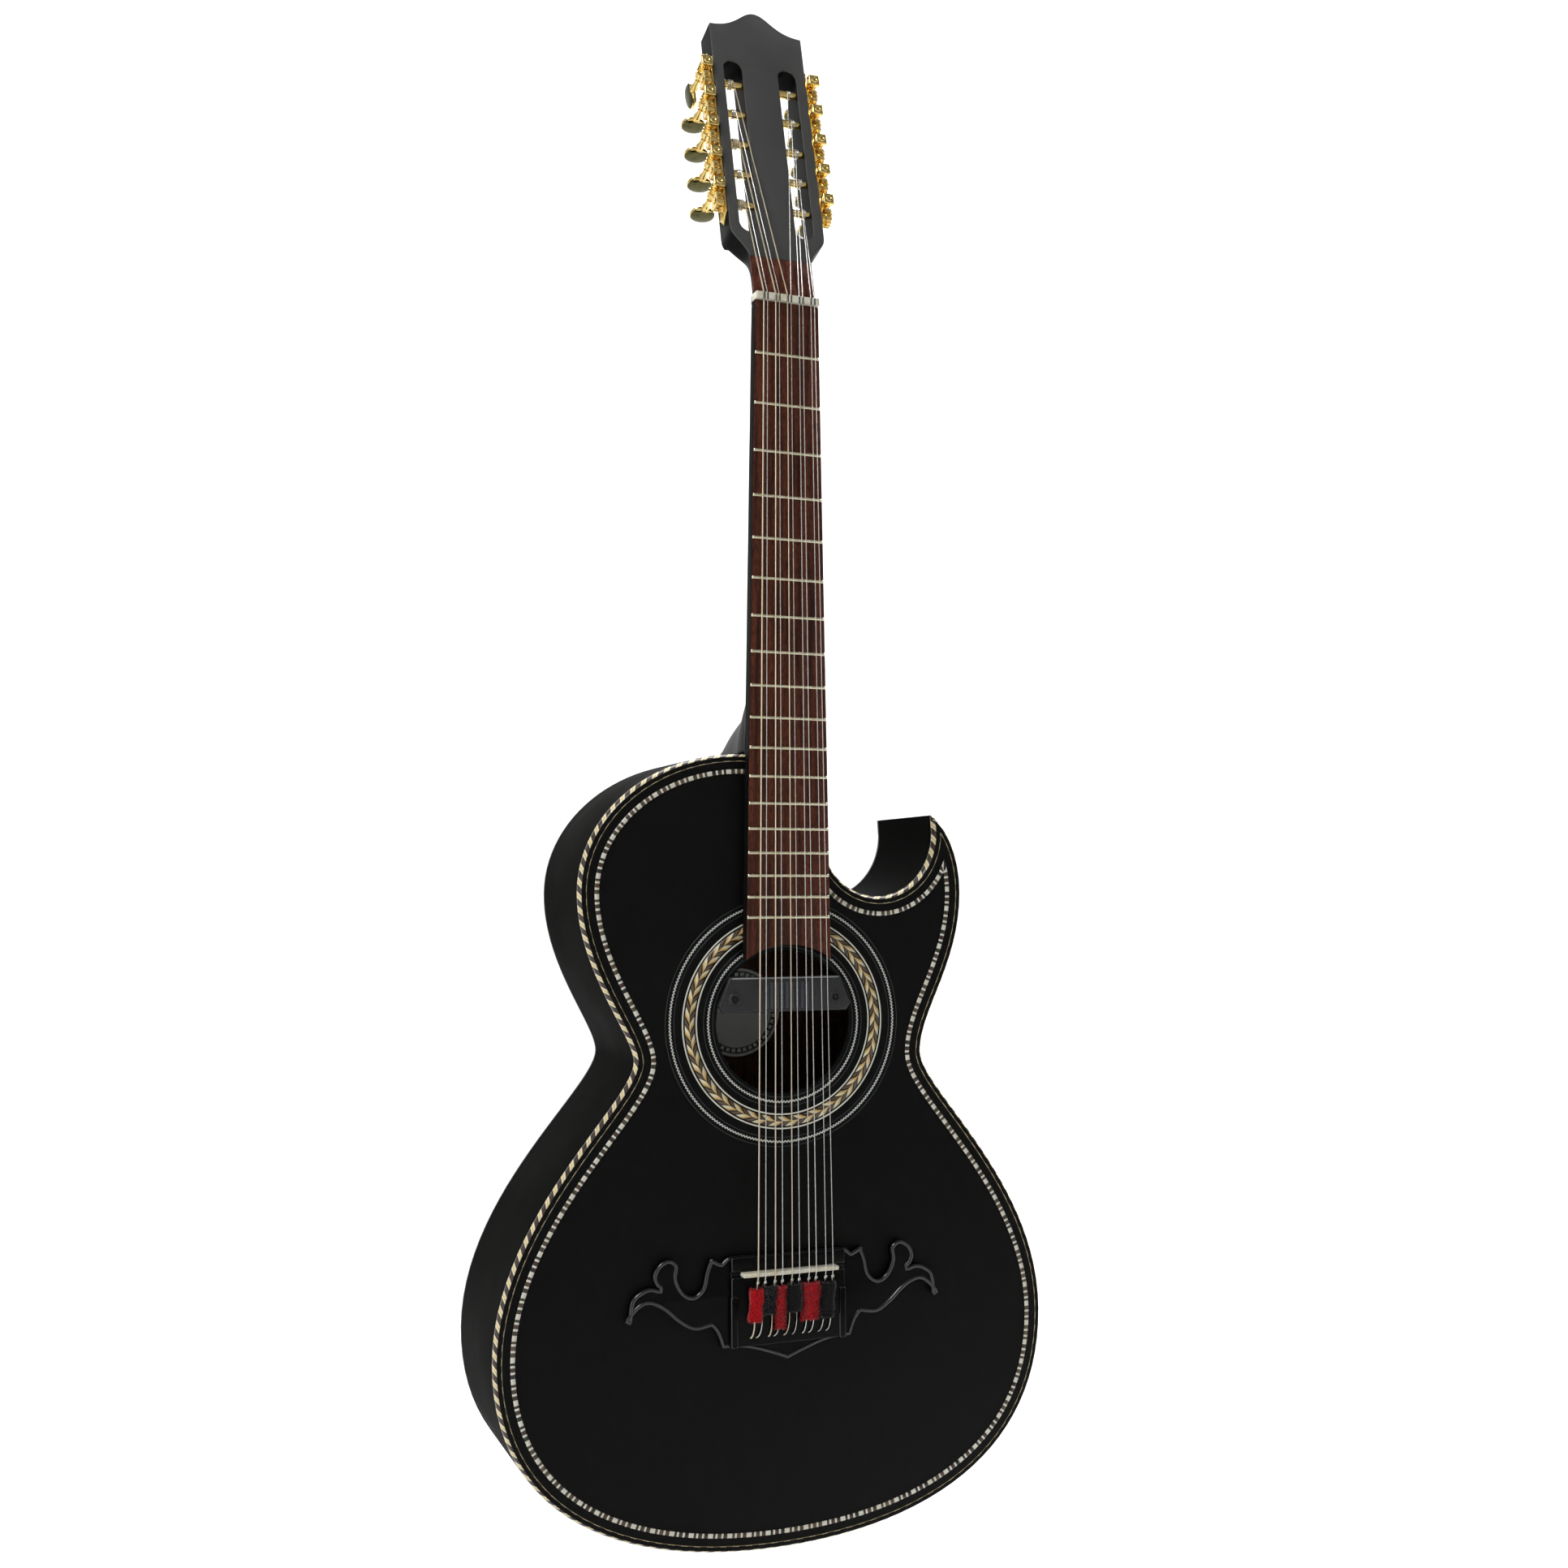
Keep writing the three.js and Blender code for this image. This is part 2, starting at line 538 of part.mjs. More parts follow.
function stringX(index, coursePitch, pairPitch, shift) {
  const course = Math.floor(index / 2) - 2;
  return shift + course * coursePitch + (index % 2 ? pairPitch : -pairPitch) / 2;
}
const nutX = (index) => stringX(index, NUT_COURSE_PITCH, NUT_PAIR_PITCH, NUT_SHIFT);
const saddleX = (index) => stringX(index, SADDLE_COURSE_PITCH, SADDLE_PAIR_PITCH, SADDLE_SHIFT);
const tieX = (index) => saddleX(index) + TIE_SHIFT + ((saddleX(index) - nutX(index)) * TIE_DROP) / -saddleZ;
const tieZ = saddleZ - TIE_DROP;

function buildBridge() {
  const mirrored = BRIDGE_HALF.slice(1, -1).reverse().map(([x, rise]) => [-x, rise]);
  const corners = [...BRIDGE_HALF, ...mirrored].map(([x, rise]) => [x, saddleZ + rise]);
  const base = plate(shapeFrom(corners), bridgeBaseFront, bridgeBack);
  const block = box([-BRIDGE_BLOCK_HALF, bridgeBlockFront, saddleZ + BRIDGE_FRONT_MARGIN - BRIDGE_BLOCK_LENGTH],
    [BRIDGE_BLOCK_HALF, bridgeBaseFront + 1, saddleZ + BRIDGE_FRONT_MARGIN - 0.5]);
  const slotBottom = bridgeBlockFront + SADDLE_SLOT_DEPTH;
  const slot = box([-SADDLE_HALF - GAP, bridgeBlockFront - 1, saddleZ - SADDLE_THICKNESS / 2 - GAP],
    [SADDLE_HALF + GAP, slotBottom + GAP, saddleZ + SADDLE_THICKNESS / 2 + GAP]);
  const holes = STRING_RADII.map((_, i) => (
    bar(TIE_HOLE_RADIUS, bridgeBlockFront - 1, bridgeBlockFront + 4.6, 'y', [tieX(i), 0, tieZ], 8)));
  addPart('bridge', cut(join(base, block), slot, ...holes), LACQUER);
  const saddle = box([-SADDLE_HALF, saddleTop, saddleZ - SADDLE_THICKNESS / 2],
    [SADDLE_HALF, slotBottom, saddleZ + SADDLE_THICKNESS / 2]);
  addPart('saddle', saddle, BONE);
}

// A velvet strip woven over and under the strings behind the saddle, sloping down with them.
function buildMute() {
  const slope = (SADDLE_STRING_HEIGHT + bridgeBlockFront - 1.3) / TIE_DROP;
  const away = Math.max(...STRING_RADII) + GAP + MUTE_THICKNESS / 2;
  const over = [0, 3, 6, 7];
  const middle = STRING_RADII.map((_, i) => [saddleX(i) + TIE_SHIFT / 2, over.includes(i) ? -away : away]);
  const line = [[middle[0][0] - 3, -away], ...middle.flatMap(([x, y], i) => {
    const reach = Math.min(1, SADDLE_PAIR_PITCH / 5);
    return i === 0 ? [[x + reach, y]] : [[x - reach, y], [x + reach, y]];
  })];
  const strip = new THREE.Shape([
    ...line.map(([x, y]) => new THREE.Vector2(x, y - MUTE_THICKNESS / 2)),
    ...line.toReversed().map(([x, y]) => new THREE.Vector2(x, y + MUTE_THICKNESS / 2))]);
  const geometry = new THREE.ExtrudeGeometry(strip, { depth: MUTE_LENGTH, bevelEnabled: false });
  const position = geometry.attributes.position;
  for (let i = 0; i < position.count; i++) {
    const drop = MUTE_LENGTH - position.getZ(i) + 7;
    position.setY(i, position.getY(i) - SADDLE_STRING_HEIGHT + slope * drop);
    position.setZ(i, saddleZ - drop);
  }
  addPart('mute_ribbon', geometry, VELVET);
}

function buildPickup() {
  const top = holeZ + PICKUP_RISE;
  const bottom = top - PICKUP_LENGTH;
  const chordHalf = Math.sqrt(HOLE_RADIUS ** 2 - PICKUP_RISE ** 2);
  const half = chordHalf + PICKUP_OVERHANG;
  const lip = plate(shapeFrom([[-half + 8, top], [half - 8, top], [half, bottom + 5], [half - 3, bottom],
    [-half + 3, bottom], [-half, bottom + 5]]), soundboardFront - GAP - PICKUP_LIP, soundboardFront - GAP);
  const bodyHalf = chordHalf - 3;
  const body = box([-bodyHalf, soundboardFront - GAP - 1, bottom + 1],
    [bodyHalf, soundboardFront + PICKUP_BODY_DEPTH, top - 1]);
  addPart('pickup', join(lip, body), PLASTIC);
}

function buildEndJack() {
  const profile = [[0, -JACK_FLANGE_LENGTH], [JACK_FLANGE_RADIUS * 0.8, -JACK_FLANGE_LENGTH],
    [JACK_FLANGE_RADIUS, 2 - JACK_FLANGE_LENGTH], [JACK_FLANGE_RADIUS * 0.75, -4], [JACK_FLANGE_RADIUS, -GAP],
    [JACK_SHANK_RADIUS, -GAP], [JACK_SHANK_RADIUS, 30], [0, 30]];
  const jack = new THREE.LatheGeometry(profile.map(([r, z]) => new THREE.Vector2(r, z)), 16);
  jack.rotateX(Math.PI / 2).translate(0, jackDepth, tailZ);
  addPart('end_pin_jack', toGeometry(toSolid(jack)), STEEL);
}

// --- Head and tuners ------------------------------------------------------------------------

// In the head's own frame z runs up the head, y into its thickness from the plate's face.
const head = new THREE.Group();
head.position.set(0, HEAD_DROP, NUT_LENGTH);
head.rotation.x = -HEAD_TILT;
head.updateMatrix();
group.add(head);

const tunerRise = (k) => TUNER_START + k * TUNER_PITCH;
const plateInner = HEAD_HALF + GAP;
const plateOuter = plateInner + PLATE_THICKNESS;
const gearInner = plateOuter + GEAR_STANDOFF;
const wormX = gearInner + GEAR_THICKNESS / 2;
const wormOffset = GEAR_RADIUS + WORM_RADIUS + WORM_CLEARANCE;
const wormFront = ROLLER_DEPTH - WORM_LENGTH / 2;
const wormBack = ROLLER_DEPTH + WORM_LENGTH / 2;

function headOutline(from, to) {
  const shape = new THREE.Shape();
  shape.moveTo(-HEAD_ROOT_HALF, from);
  shape.lineTo(HEAD_ROOT_HALF, from);
  if (to <= HEAD_ROOT_LENGTH) {
    shape.lineTo(HEAD_ROOT_HALF, to);
    shape.lineTo(-HEAD_ROOT_HALF, to);
    return shape;
  }
  const flareX = HEAD_HALF - 2;
  const flareZ = HEAD_SHOULDER - 6;
  shape.lineTo(HEAD_ROOT_HALF, HEAD_ROOT_LENGTH + 2);
  shape.lineTo(flareX, flareZ);
  shape.quadraticCurveTo(HEAD_HALF, flareZ + 2, HEAD_HALF, HEAD_SHOULDER + 4);
  shape.lineTo(HEAD_HALF, to);
  shape.bezierCurveTo(14, to + 0.3, 10, to + CROWN_RISE, 0, to + CROWN_RISE);
  shape.bezierCurveTo(-10, to + CROWN_RISE, -14, to + 0.3, -HEAD_HALF, to);
  shape.lineTo(-HEAD_HALF, HEAD_SHOULDER + 4);
  shape.quadraticCurveTo(-HEAD_HALF, flareZ + 2, -flareX, flareZ);
  shape.lineTo(-HEAD_ROOT_HALF, HEAD_ROOT_LENGTH + 2);
  return shape;
}

function withSlots(shape) {
  for (const side of [-1, 1]) {
    const slot = new THREE.Path();
    slot.absarc(side * SLOT_CENTRE, SLOT_END - SLOT_HALF, SLOT_HALF, 0, Math.PI, false);
    slot.absarc(side * SLOT_CENTRE, SLOT_START + SLOT_HALF, SLOT_HALF, Math.PI, 2 * Math.PI, false);
    shape.holes.push(slot);
  }
  return shape;
}

function buildHead() {
  const toHead = head.matrix.clone().invert();
  const wide = 2 * HEAD_HALF;
  const nutRoom = box([-wide, -40, -40], [wide, FINGERBOARD_THICKNESS + GAP, NUT_LENGTH + GAP]);
  const neckRoom = box([-wide, -80, -80], [wide, 80, -1 + GAP]);
  nutRoom.applyMatrix4(toHead);
  neckRoom.applyMatrix4(toHead);
  const bores = [];
  for (let k = 0; k < TUNER_COUNT; k++) {
    for (const side of [-1, 1]) {
      const [from, to] = [ROLLER_INNER_END - BORE_GAP, HEAD_HALF + 1].map((x) => x * side).sort((a, b) => a - b);
      bores.push(bar(ROLLER_RADIUS + BORE_GAP, from, to, 'x', [0, ROLLER_DEPTH, tunerRise(k)], 10));
    }
  }
  const core = plate(withSlots(headOutline(-9, HEAD_LENGTH)), HEAD_PLATE_THICKNESS + GAP, HEAD_THICKNESS);
  addPart('headstock', cut(core, nutRoom, neckRoom, ...bores), LACQUER, head);
  const facing = plate(withSlots(headOutline(HEAD_ROOT_LENGTH + GAP, HEAD_LENGTH)), 0, HEAD_PLATE_THICKNESS);
  addPart('head_plate', facing, LACQUER, head);
  const root = plate(headOutline(-9, HEAD_ROOT_LENGTH), 0, HEAD_PLATE_THICKNESS);
  addPart('head_root_veneer', cut(root, nutRoom), ROSEWOOD, head);
}

// A side plate with its roller holes and, at each worm, a capped front lug and an open rear lug.
function buildTunerPlate(name, side) {
  const low = tunerRise(0) - PLATE_MARGIN;
  const high = tunerRise(TUNER_COUNT - 1) + wormOffset + PLATE_MARGIN;
  const across = (from, to) => [from * side, to * side].sort((a, b) => a - b);
  const [x0, x1] = across(plateInner, plateOuter);
  const strip = box([x0, PLATE_DEPTH - PLATE_HALF_WIDTH, low], [x1, PLATE_DEPTH + PLATE_HALF_WIDTH, high]);
  const additions = [];
  const holes = [];
  for (let k = 0; k < TUNER_COUNT; k++) {
    const z = tunerRise(k) + wormOffset;
    const [w0, w1] = across(plateOuter - 0.5, wormX);
    const frontLug = [wormFront - GAP - LUG_LENGTH, wormFront - GAP];
    const rearLug = [wormBack + GAP, wormBack + GAP + LUG_LENGTH];
    for (const [from, to] of [frontLug, rearLug]) {
      additions.push(bar(WORM_RADIUS, from, to, 'y', [wormX * side, 0, z]));
      additions.push(box([w0, from + 0.2, z - LUG_WEB_HALF], [w1, to - 0.2, z + LUG_WEB_HALF]));
    }
    additions.push(box([x0, frontLug[0] + 0.2, z - WORM_RADIUS], [x1, PLATE_DEPTH, z + WORM_RADIUS]));
    holes.push(bar(SHAFT_RADIUS + BORE_GAP, frontLug[0] + 1, rearLug[1] + 1, 'y', [wormX * side, 0, z], 10));
    const [h0, h1] = across(plateInner - 1, plateOuter + 1);
    holes.push(bar(ROLLER_RADIUS + BORE_GAP, h0, h1, 'x', [0, ROLLER_DEPTH, tunerRise(k)], 10));
  }
  addPart(name, cut(join(strip, ...additions), ...holes), GOLD, head);
}

function turned(profile, segments) {
  return new THREE.LatheGeometry(profile.map(([r, y]) => new THREE.Vector2(r, y)), segments);
}

function buildRoller(name, side, k) {
  const gearOuter = gearInner + GEAR_THICKNESS;
  const hub = ROLLER_RADIUS + 0.8;
  const roller = turned([[0, ROLLER_INNER_END], [ROLLER_RADIUS, ROLLER_INNER_END],
    [ROLLER_RADIUS, plateOuter + GAP], [hub, plateOuter + GAP], [hub, gearInner], [GEAR_RADIUS, gearInner],
    [GEAR_RADIUS, gearOuter], [2.6, gearOuter], [2.6, gearOuter + 1.2], [0, gearOuter + 1.2]], 12);
  roller.rotateZ(-side * Math.PI / 2).translate(0, ROLLER_DEPTH, tunerRise(k));
  addPart(name, toGeometry(toSolid(roller)), GOLD, head);
}

// A worm on its shaft, with a turned neck and an oval button behind the head.
function buildButton(name, side, k, turn) {
  const shaftFront = wormFront - GAP - LUG_LENGTH + 1 + BORE_GAP;
  const neckStart = wormBack + 2 * GAP + LUG_LENGTH;
  const neckEndDepth = neckStart + BUTTON_NECK_LENGTH;
  const shaft = turned([[0, shaftFront], [SHAFT_RADIUS, shaftFront], [SHAFT_RADIUS, wormFront],
    [WORM_RADIUS, wormFront], [WORM_RADIUS, wormBack], [SHAFT_RADIUS, wormBack], [SHAFT_RADIUS, neckStart],
    [BUTTON_NECK_RADIUS, neckStart], [BUTTON_NECK_RADIUS, neckEndDepth], [0, neckEndDepth]], 10);
  const oval = new THREE.SphereGeometry(1, 12, 8);
  oval.scale(BUTTON_HALF_WIDTH, BUTTON_HALF_LENGTH, BUTTON_HALF_THICKNESS);
  oval.translate(0, neckEndDepth + BUTTON_HALF_LENGTH - 1, 0);
  const piece = join(shaft, oval).rotateY(turn);
  piece.translate(wormX * side, 0, tunerRise(k) + wormOffset);
  addPart(name, piece, GOLD, head);
}

function buildTuners() {
  buildTunerPlate('tuner_plate_bass', -1);
  buildTunerPlate('tuner_plate_treble', 1);
  const edgeOn = THREE.MathUtils.degToRad(80);
  for (let k = 0; k < TUNER_COUNT; k++) {
    buildRoller(`tuner_roller_bass_${k + 1}`, -1, k);
    buildRoller(`tuner_roller_treble_${k + 1}`, 1, k);
    buildButton(`tuner_button_bass_${k + 1}`, -1, k, k === TUNER_COUNT - 1 ? edgeOn : 0);
    buildButton(`tuner_button_treble_${k + 1}`, 1, k, 0);
  }
}

// --- Strings --------------------------------------------------------------------------------

// A route of straight runs whose steps fall on its corners.
class Route extends THREE.Curve {
  constructor(points) {
    super();
    this.points = points;
  }

  getPoint(t, target = new THREE.Vector3()) {
    const at = t * (this.points.length - 1);
    const i = Math.min(Math.floor(at), this.points.length - 2);
    return target.copy(this.points[i]).lerp(this.points[i + 1], at - i);
  }

  getUtoTmapping(u) {
    return u;
  }
}

function buildString(index) {
  const radius = STRING_RADII[index];
  const side = index < TUNER_COUNT ? -1 : 1;
  const k = side < 0 ? index : STRING_RADII.length - 1 - index;
  const rollerX = (22 - 0.3 * k) * side;
  const rollerY = ROLLER_DEPTH - ROLLER_RADIUS - GAP - radius;
  const rollerEnd = new THREE.Vector3(rollerX, rollerY, tunerRise(k)).applyMatrix4(head.matrix);
  const tie = bridgeBlockFront;
  const route = new Route([
    rollerEnd,
    new THREE.Vector3(nutX(index), 0.1 - NUT_STRING_HEIGHT, NUT_LENGTH - 0.2),
    new THREE.Vector3(nutX(index), -NUT_STRING_HEIGHT, 0),
    new THREE.Vector3(saddleX(index), -SADDLE_STRING_HEIGHT, saddleZ + SADDLE_THICKNESS / 2),
    new THREE.Vector3(saddleX(index), 0.1 - SADDLE_STRING_HEIGHT, saddleZ - SADDLE_THICKNESS / 2),
    new THREE.Vector3(tieX(index), tie - 1.3, tieZ + 2.3),
    new THREE.Vector3(tieX(index), tie - 0.6, tieZ + 0.6),
    new THREE.Vector3(tieX(index), tie + 2.6, tieZ),
  ]);
  const circle = new THREE.Shape();
  circle.absarc(0, 0, radius, 0, 2 * Math.PI, false);
  const geometry = new THREE.ExtrudeGeometry(circle, {
    steps: route.points.length - 1, curveSegments: 6, extrudePath: route, bevelEnabled: false,
  });
  const wound = radius > 0.4;
  addPart(`string_${String(index + 1).padStart(2, '0')}`, geometry, wound ? BRONZE : STEEL);
}

buildSoundboard();
buildSides();
buildBlocks();
buildBraces();
buildNeck();
buildFingerboard();
buildBridge();
buildMute();
buildPickup();
buildEndJack();
buildHead();
buildTuners();
STRING_RADII.forEach((_, index) => buildString(index));

export default group;
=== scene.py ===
"""A ten-string bajo quinto: horned cutaway body, slotted head with worm tuners, five string pairs.

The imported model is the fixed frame. Sizes in the classes are in millimetres, in the frame's own
axes (+Z up the neck, -Y the way the soundboard faces, origin at the nut), and a piece becomes
metres once, when it is finished.
"""

from __future__ import annotations

import logging
import math
import random
from dataclasses import dataclass, field
from enum import Enum
from typing import Callable, Iterable, Sequence, Union

import bmesh
import bpy
from mathutils import Matrix, Vector


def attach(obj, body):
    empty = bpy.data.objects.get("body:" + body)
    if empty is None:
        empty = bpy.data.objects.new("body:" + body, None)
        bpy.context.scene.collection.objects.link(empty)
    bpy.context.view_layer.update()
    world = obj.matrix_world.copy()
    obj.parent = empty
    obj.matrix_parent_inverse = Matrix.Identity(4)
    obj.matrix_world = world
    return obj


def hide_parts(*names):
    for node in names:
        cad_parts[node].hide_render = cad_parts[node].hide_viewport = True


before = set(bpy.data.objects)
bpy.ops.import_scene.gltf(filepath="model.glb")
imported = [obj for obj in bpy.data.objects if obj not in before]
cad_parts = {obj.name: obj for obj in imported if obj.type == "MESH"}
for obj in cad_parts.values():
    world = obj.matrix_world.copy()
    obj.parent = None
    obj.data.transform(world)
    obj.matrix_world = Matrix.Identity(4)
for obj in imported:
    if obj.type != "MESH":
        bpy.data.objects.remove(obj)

log = logging.getLogger("bajo_quinto")
logging.basicConfig(level=logging.INFO, format="%(message)s")

MM = 0.001
BODY = "instrument"
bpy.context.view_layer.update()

Plan = list[Vector]  # points (x, z) in the plane of the soundboard
Level = Union[float, Callable[[float], float]]
Mesh = bmesh.types.BMesh
Piece = bpy.types.Object
Material = bpy.types.Material
Socket = bpy.types.NodeSocket


# --- Sizes shared by several sub-assemblies ---


class Side(Enum):
    """The two sides of the instrument, and the way each one points along X."""

    BASS = -1
    TREBLE = 1


@dataclass(frozen=True)
class Layout:
    """Places along the neck and the levels that pieces share."""

    scale: float = 650.0
    saddle_setback: float = 8.0
    nut_width: float = 46.4
    width_growth: float = 0.0338
    neck_top: float = 6.8
    soundboard: float = 10.0
    depth_at_heel: float = 95.0
    depth_at_tail: float = 118.0
    body_length: float = 536.5
    hole_drop: float = 182.0
    hole_radius: float = 48.5
    gap: float = 0.3  # glue line between touching pieces

    def fret(self, number: int) -> float:
        """Height of a fret, from the nut's edge down."""
        return -self.scale * (1 - 2 ** (-number / 12))

    @property
    def body_top(self) -> float:
        """Height of the body's top edge."""
        return self.fret(11) - 3.7

    @property
    def tail(self) -> float:
        """Height of the body's lower end."""
        return self.body_top - self.body_length

    @property
    def hole(self) -> float:
        """Height of the soundhole's centre."""
        return self.body_top - self.hole_drop

    @property
    def saddle(self) -> float:
        """Height of the saddle's middle."""
        return -(self.scale + self.saddle_setback)

    def half_width(self, z: float) -> float:
        """Half the fingerboard's width at a height."""
        return (self.nut_width - self.width_growth * z) / 2

    def back(self, z: float) -> float:
        """Level of the back's outer face, which is deeper towards the tail."""
        share = (z - self.body_top) / (self.tail - self.body_top)
        depth = self.depth_at_heel + share * (self.depth_at_tail - self.depth_at_heel)
        return self.soundboard + depth


LAYOUT = Layout()


# --- Materials ---


class Graph:
    """The nodes of one material, wired by short calls."""

    def __init__(self, name: str) -> None:
        """Start a material with a Principled shader.

        Args:
            name: The material's name.
        """
        self.material = bpy.data.materials.new(name)
        self.material.use_nodes = True
        self.tree = self.material.node_tree
        self.shader = self.tree.nodes["Principled BSDF"]

    def node(self, kind: str, inputs: dict | None = None, **settings: object) -> bpy.types.Node:
        """Add a node.

        Args:
            kind: The node's type name without its ShaderNode prefix.
            inputs: Values or sockets by input name or number.
            settings: Properties of the node.

        Returns:
            The new node.
        """
        made = self.tree.nodes.new("ShaderNode" + kind)
        for key, value in settings.items():
            setattr(made, key, value)
        for key, value in (inputs or {}).items():
            self.feed(made.inputs[key], value)
        return made

    def feed(self, socket: Socket, value: object) -> None:
        """Link a socket to an input, or set the input's own value."""
        if isinstance(value, Socket):
            self.tree.links.new(value, socket)
        else:
            socket.default_value = value

    def math(self, operation: str, *values: Socket | float) -> Socket:
        """A Math node's result."""
        made = self.node("Math", dict(enumerate(values)), operation=operation)
        return made.outputs[0]

    def axes(self, source: str = "Object") -> dict[str, Socket]:
        """The separate coordinates of the Object or UV position, in metres."""
        coordinates = self.node("TexCoord").outputs[source]
        split = self.node("SeparateXYZ", {0: coordinates})
        return {"x": split.outputs[0], "y": split.outputs[1], "z": split.outputs[2]}

    def noise(self, size: float, stretch: tuple = (1, 1, 1), detail: float = 3,
              source: str = "Object") -> Socket:
        """A noise pattern.

        Args:
            size: The width of its spots in metres.
            stretch: How many times longer the spots are along X, Y and Z.
            detail: Octaves of finer noise.
            source: The coordinates it follows.

        Returns:
            The socket with the noise, from 0 to 1.
        """
        coordinates = self.node("TexCoord").outputs[source]
        scale = tuple(1 / (size * s) for s in stretch)
        placed = self.node("Mapping", {"Vector": coordinates, "Scale": scale})
        made = self.node("TexNoise", {"Vector": placed.outputs[0], "Scale": 1.0, "Detail": detail})
        return made.outputs[0]

    def between(self, value: Socket, low: float, high: float, start: float = 0.0, end: float = 1.0) -> Socket:
        """A value mapped from one range to another and held inside it."""
        sockets = {0: value, 1: start, 2: end, 3: low, 4: high}
        return self.node("MapRange", sockets).outputs[0]

    def ramp(self, value: Socket, stops: Sequence[tuple], stepped: bool = False) -> Socket:
        """A colour ramp.

        Args:
            value: The socket that drives it.
            stops: Pairs of position and (r, g, b).
            stepped: Whether each colour holds until the next stop.

        Returns:
            The colour socket.
        """
        made = self.node("ValToRGB", {0: value})
        ramp = made.color_ramp
        ramp.interpolation = "CONSTANT" if stepped else "LINEAR"
        while len(ramp.elements) < len(stops):
            ramp.elements.new(0.5)
        for element, (position, colour) in zip(ramp.elements, stops):
            element.position = position
            element.color = (*colour, 1)
        return made.outputs[0]

    def mix(self, share: Socket | float, first: Socket | tuple, second: Socket | tuple,
            blend: str = "MIX") -> Socket:
        """Two colours mixed by a share.

        Args:
            share: How much of the second colour there is.
            first: The first colour.
            second: The second colour.
            blend: How the second one is laid over the first.

        Returns:
            The colour socket.
        """
        made = self.node("Mix", data_type="RGBA", blend_type=blend)
        for number, value in ((0, share), (6, first), (7, second)):
            plain = number > 5 and not isinstance(value, Socket)
            self.feed(made.inputs[number], (*value, 1) if plain else value)
        return made.outputs[2]

    def bump(self, height: Socket, depth: float, strength: float = 1.0,
             under: Socket | None = None) -> Socket:
        """A bump from a height pattern.

        Args:
            height: The pattern's socket.
            depth: The pattern's full height in metres.
            strength: The bump's strength.
            under: The normal of a coarser bump below this one.

        Returns:
            The normal socket.
        """
        inputs = {"Height": height, "Distance": depth, "Strength": strength}
        if under is not None:
            inputs["Normal"] = under
        return self.node("Bump", inputs).outputs[0]

    def shade(self, **inputs: object) -> Material:
        """Feed the shader's inputs, whose spaces are written as underscores.

        Returns:
            The finished material.
        """
        for key, value in inputs.items():
            socket = self.shader.inputs[key.replace("_", " ")]
            plain = socket.type == "RGBA" and not isinstance(value, Socket)
            self.feed(socket, (*value, 1) if plain else value)
        return self.material


class Finish:
    """A surface finish whose material is made once and shared by its pieces."""

    name: str
    made: dict[str, Material] = {}

    def build(self) -> Material:
        """Make the material."""
        raise NotImplementedError

    @property
    def material(self) -> Material:
        """The finish's material."""
        if self.name not in Finish.made:
            Finish.made[self.name] = self.build()
        return Finish.made[self.name]


@dataclass(frozen=True)
class Lacquer(Finish):
    """Thin dark lacquer over wood, with a soft ripple and a duller haze here and there."""

    name: str
    tone: tuple = (0.010, 0.010, 0.010)
    gloss: float = 0.25
    haze: float = 0.12
    ripple: float = 0.00004
    level: float = 0.35
    coat: float = 0.0
    grain: float = 0.0

    def build(self) -> Material:
        """Make the material."""
        g = Graph(self.name)
        cloud = g.noise(0.09, detail=4)
        rough = g.between(cloud, self.gloss, self.gloss + self.haze, 0.35, 0.7)
        wave = g.bump(g.noise(0.014, detail=2), self.ripple, 0.6)
        fine = g.bump(g.noise(0.0012, (1, 1, 3), 2), self.ripple * 0.25, 0.5, wave)
        pores = g.noise(0.0009, (1, 1, 40), 2)
        normal = g.bump(pores, 0.00003 * self.grain, 0.5, fine) if self.grain else fine
        shift = g.between(cloud, 0.8, 1.3)
        tone = g.mix(1.0, self.tone, g.node("CombineColor", dict.fromkeys(range(3), shift)).outputs[0],
                     "MULTIPLY")
        return g.shade(Base_Color=tone, Roughness=rough, Normal=normal, Specular_IOR_Level=self.level,
                       Coat_Weight=self.coat, Coat_Roughness=0.06)


@dataclass(frozen=True)
class Rosewood(Finish):
    """Open-pored reddish wood with dark streaks along the neck."""

    name: str
    pale: tuple = (0.118, 0.030, 0.014)
    dark: tuple = (0.034, 0.008, 0.004)

    def build(self) -> Material:
        """Make the material."""
        g = Graph(self.name)
        streak = g.noise(0.0035, (1, 1, 26), 5)
        mottle = g.noise(0.0016, (1, 1, 3), 3)
        tone = g.ramp(streak, [(0.34, self.dark), (0.52, self.pale),
                               (0.66, tuple(c * 1.35 for c in self.pale))])
        tone = g.mix(g.between(mottle, 0.0, 0.55, 0.45, 0.62), tone, self.dark)
        pore = g.noise(0.0005, (1, 1, 22), 2)
        cut = g.between(pore, 0.0, 1.0, 0.60, 0.66)
        tone = g.mix(g.math("MULTIPLY", cut, 0.7), tone, (0.012, 0.004, 0.003))
        normal = g.bump(g.math("SUBTRACT", 1.0, cut), 0.00008, 0.6)
        return g.shade(Base_Color=tone, Roughness=g.between(streak, 0.42, 0.6), Normal=normal,
                       Specular_IOR_Level=0.22)


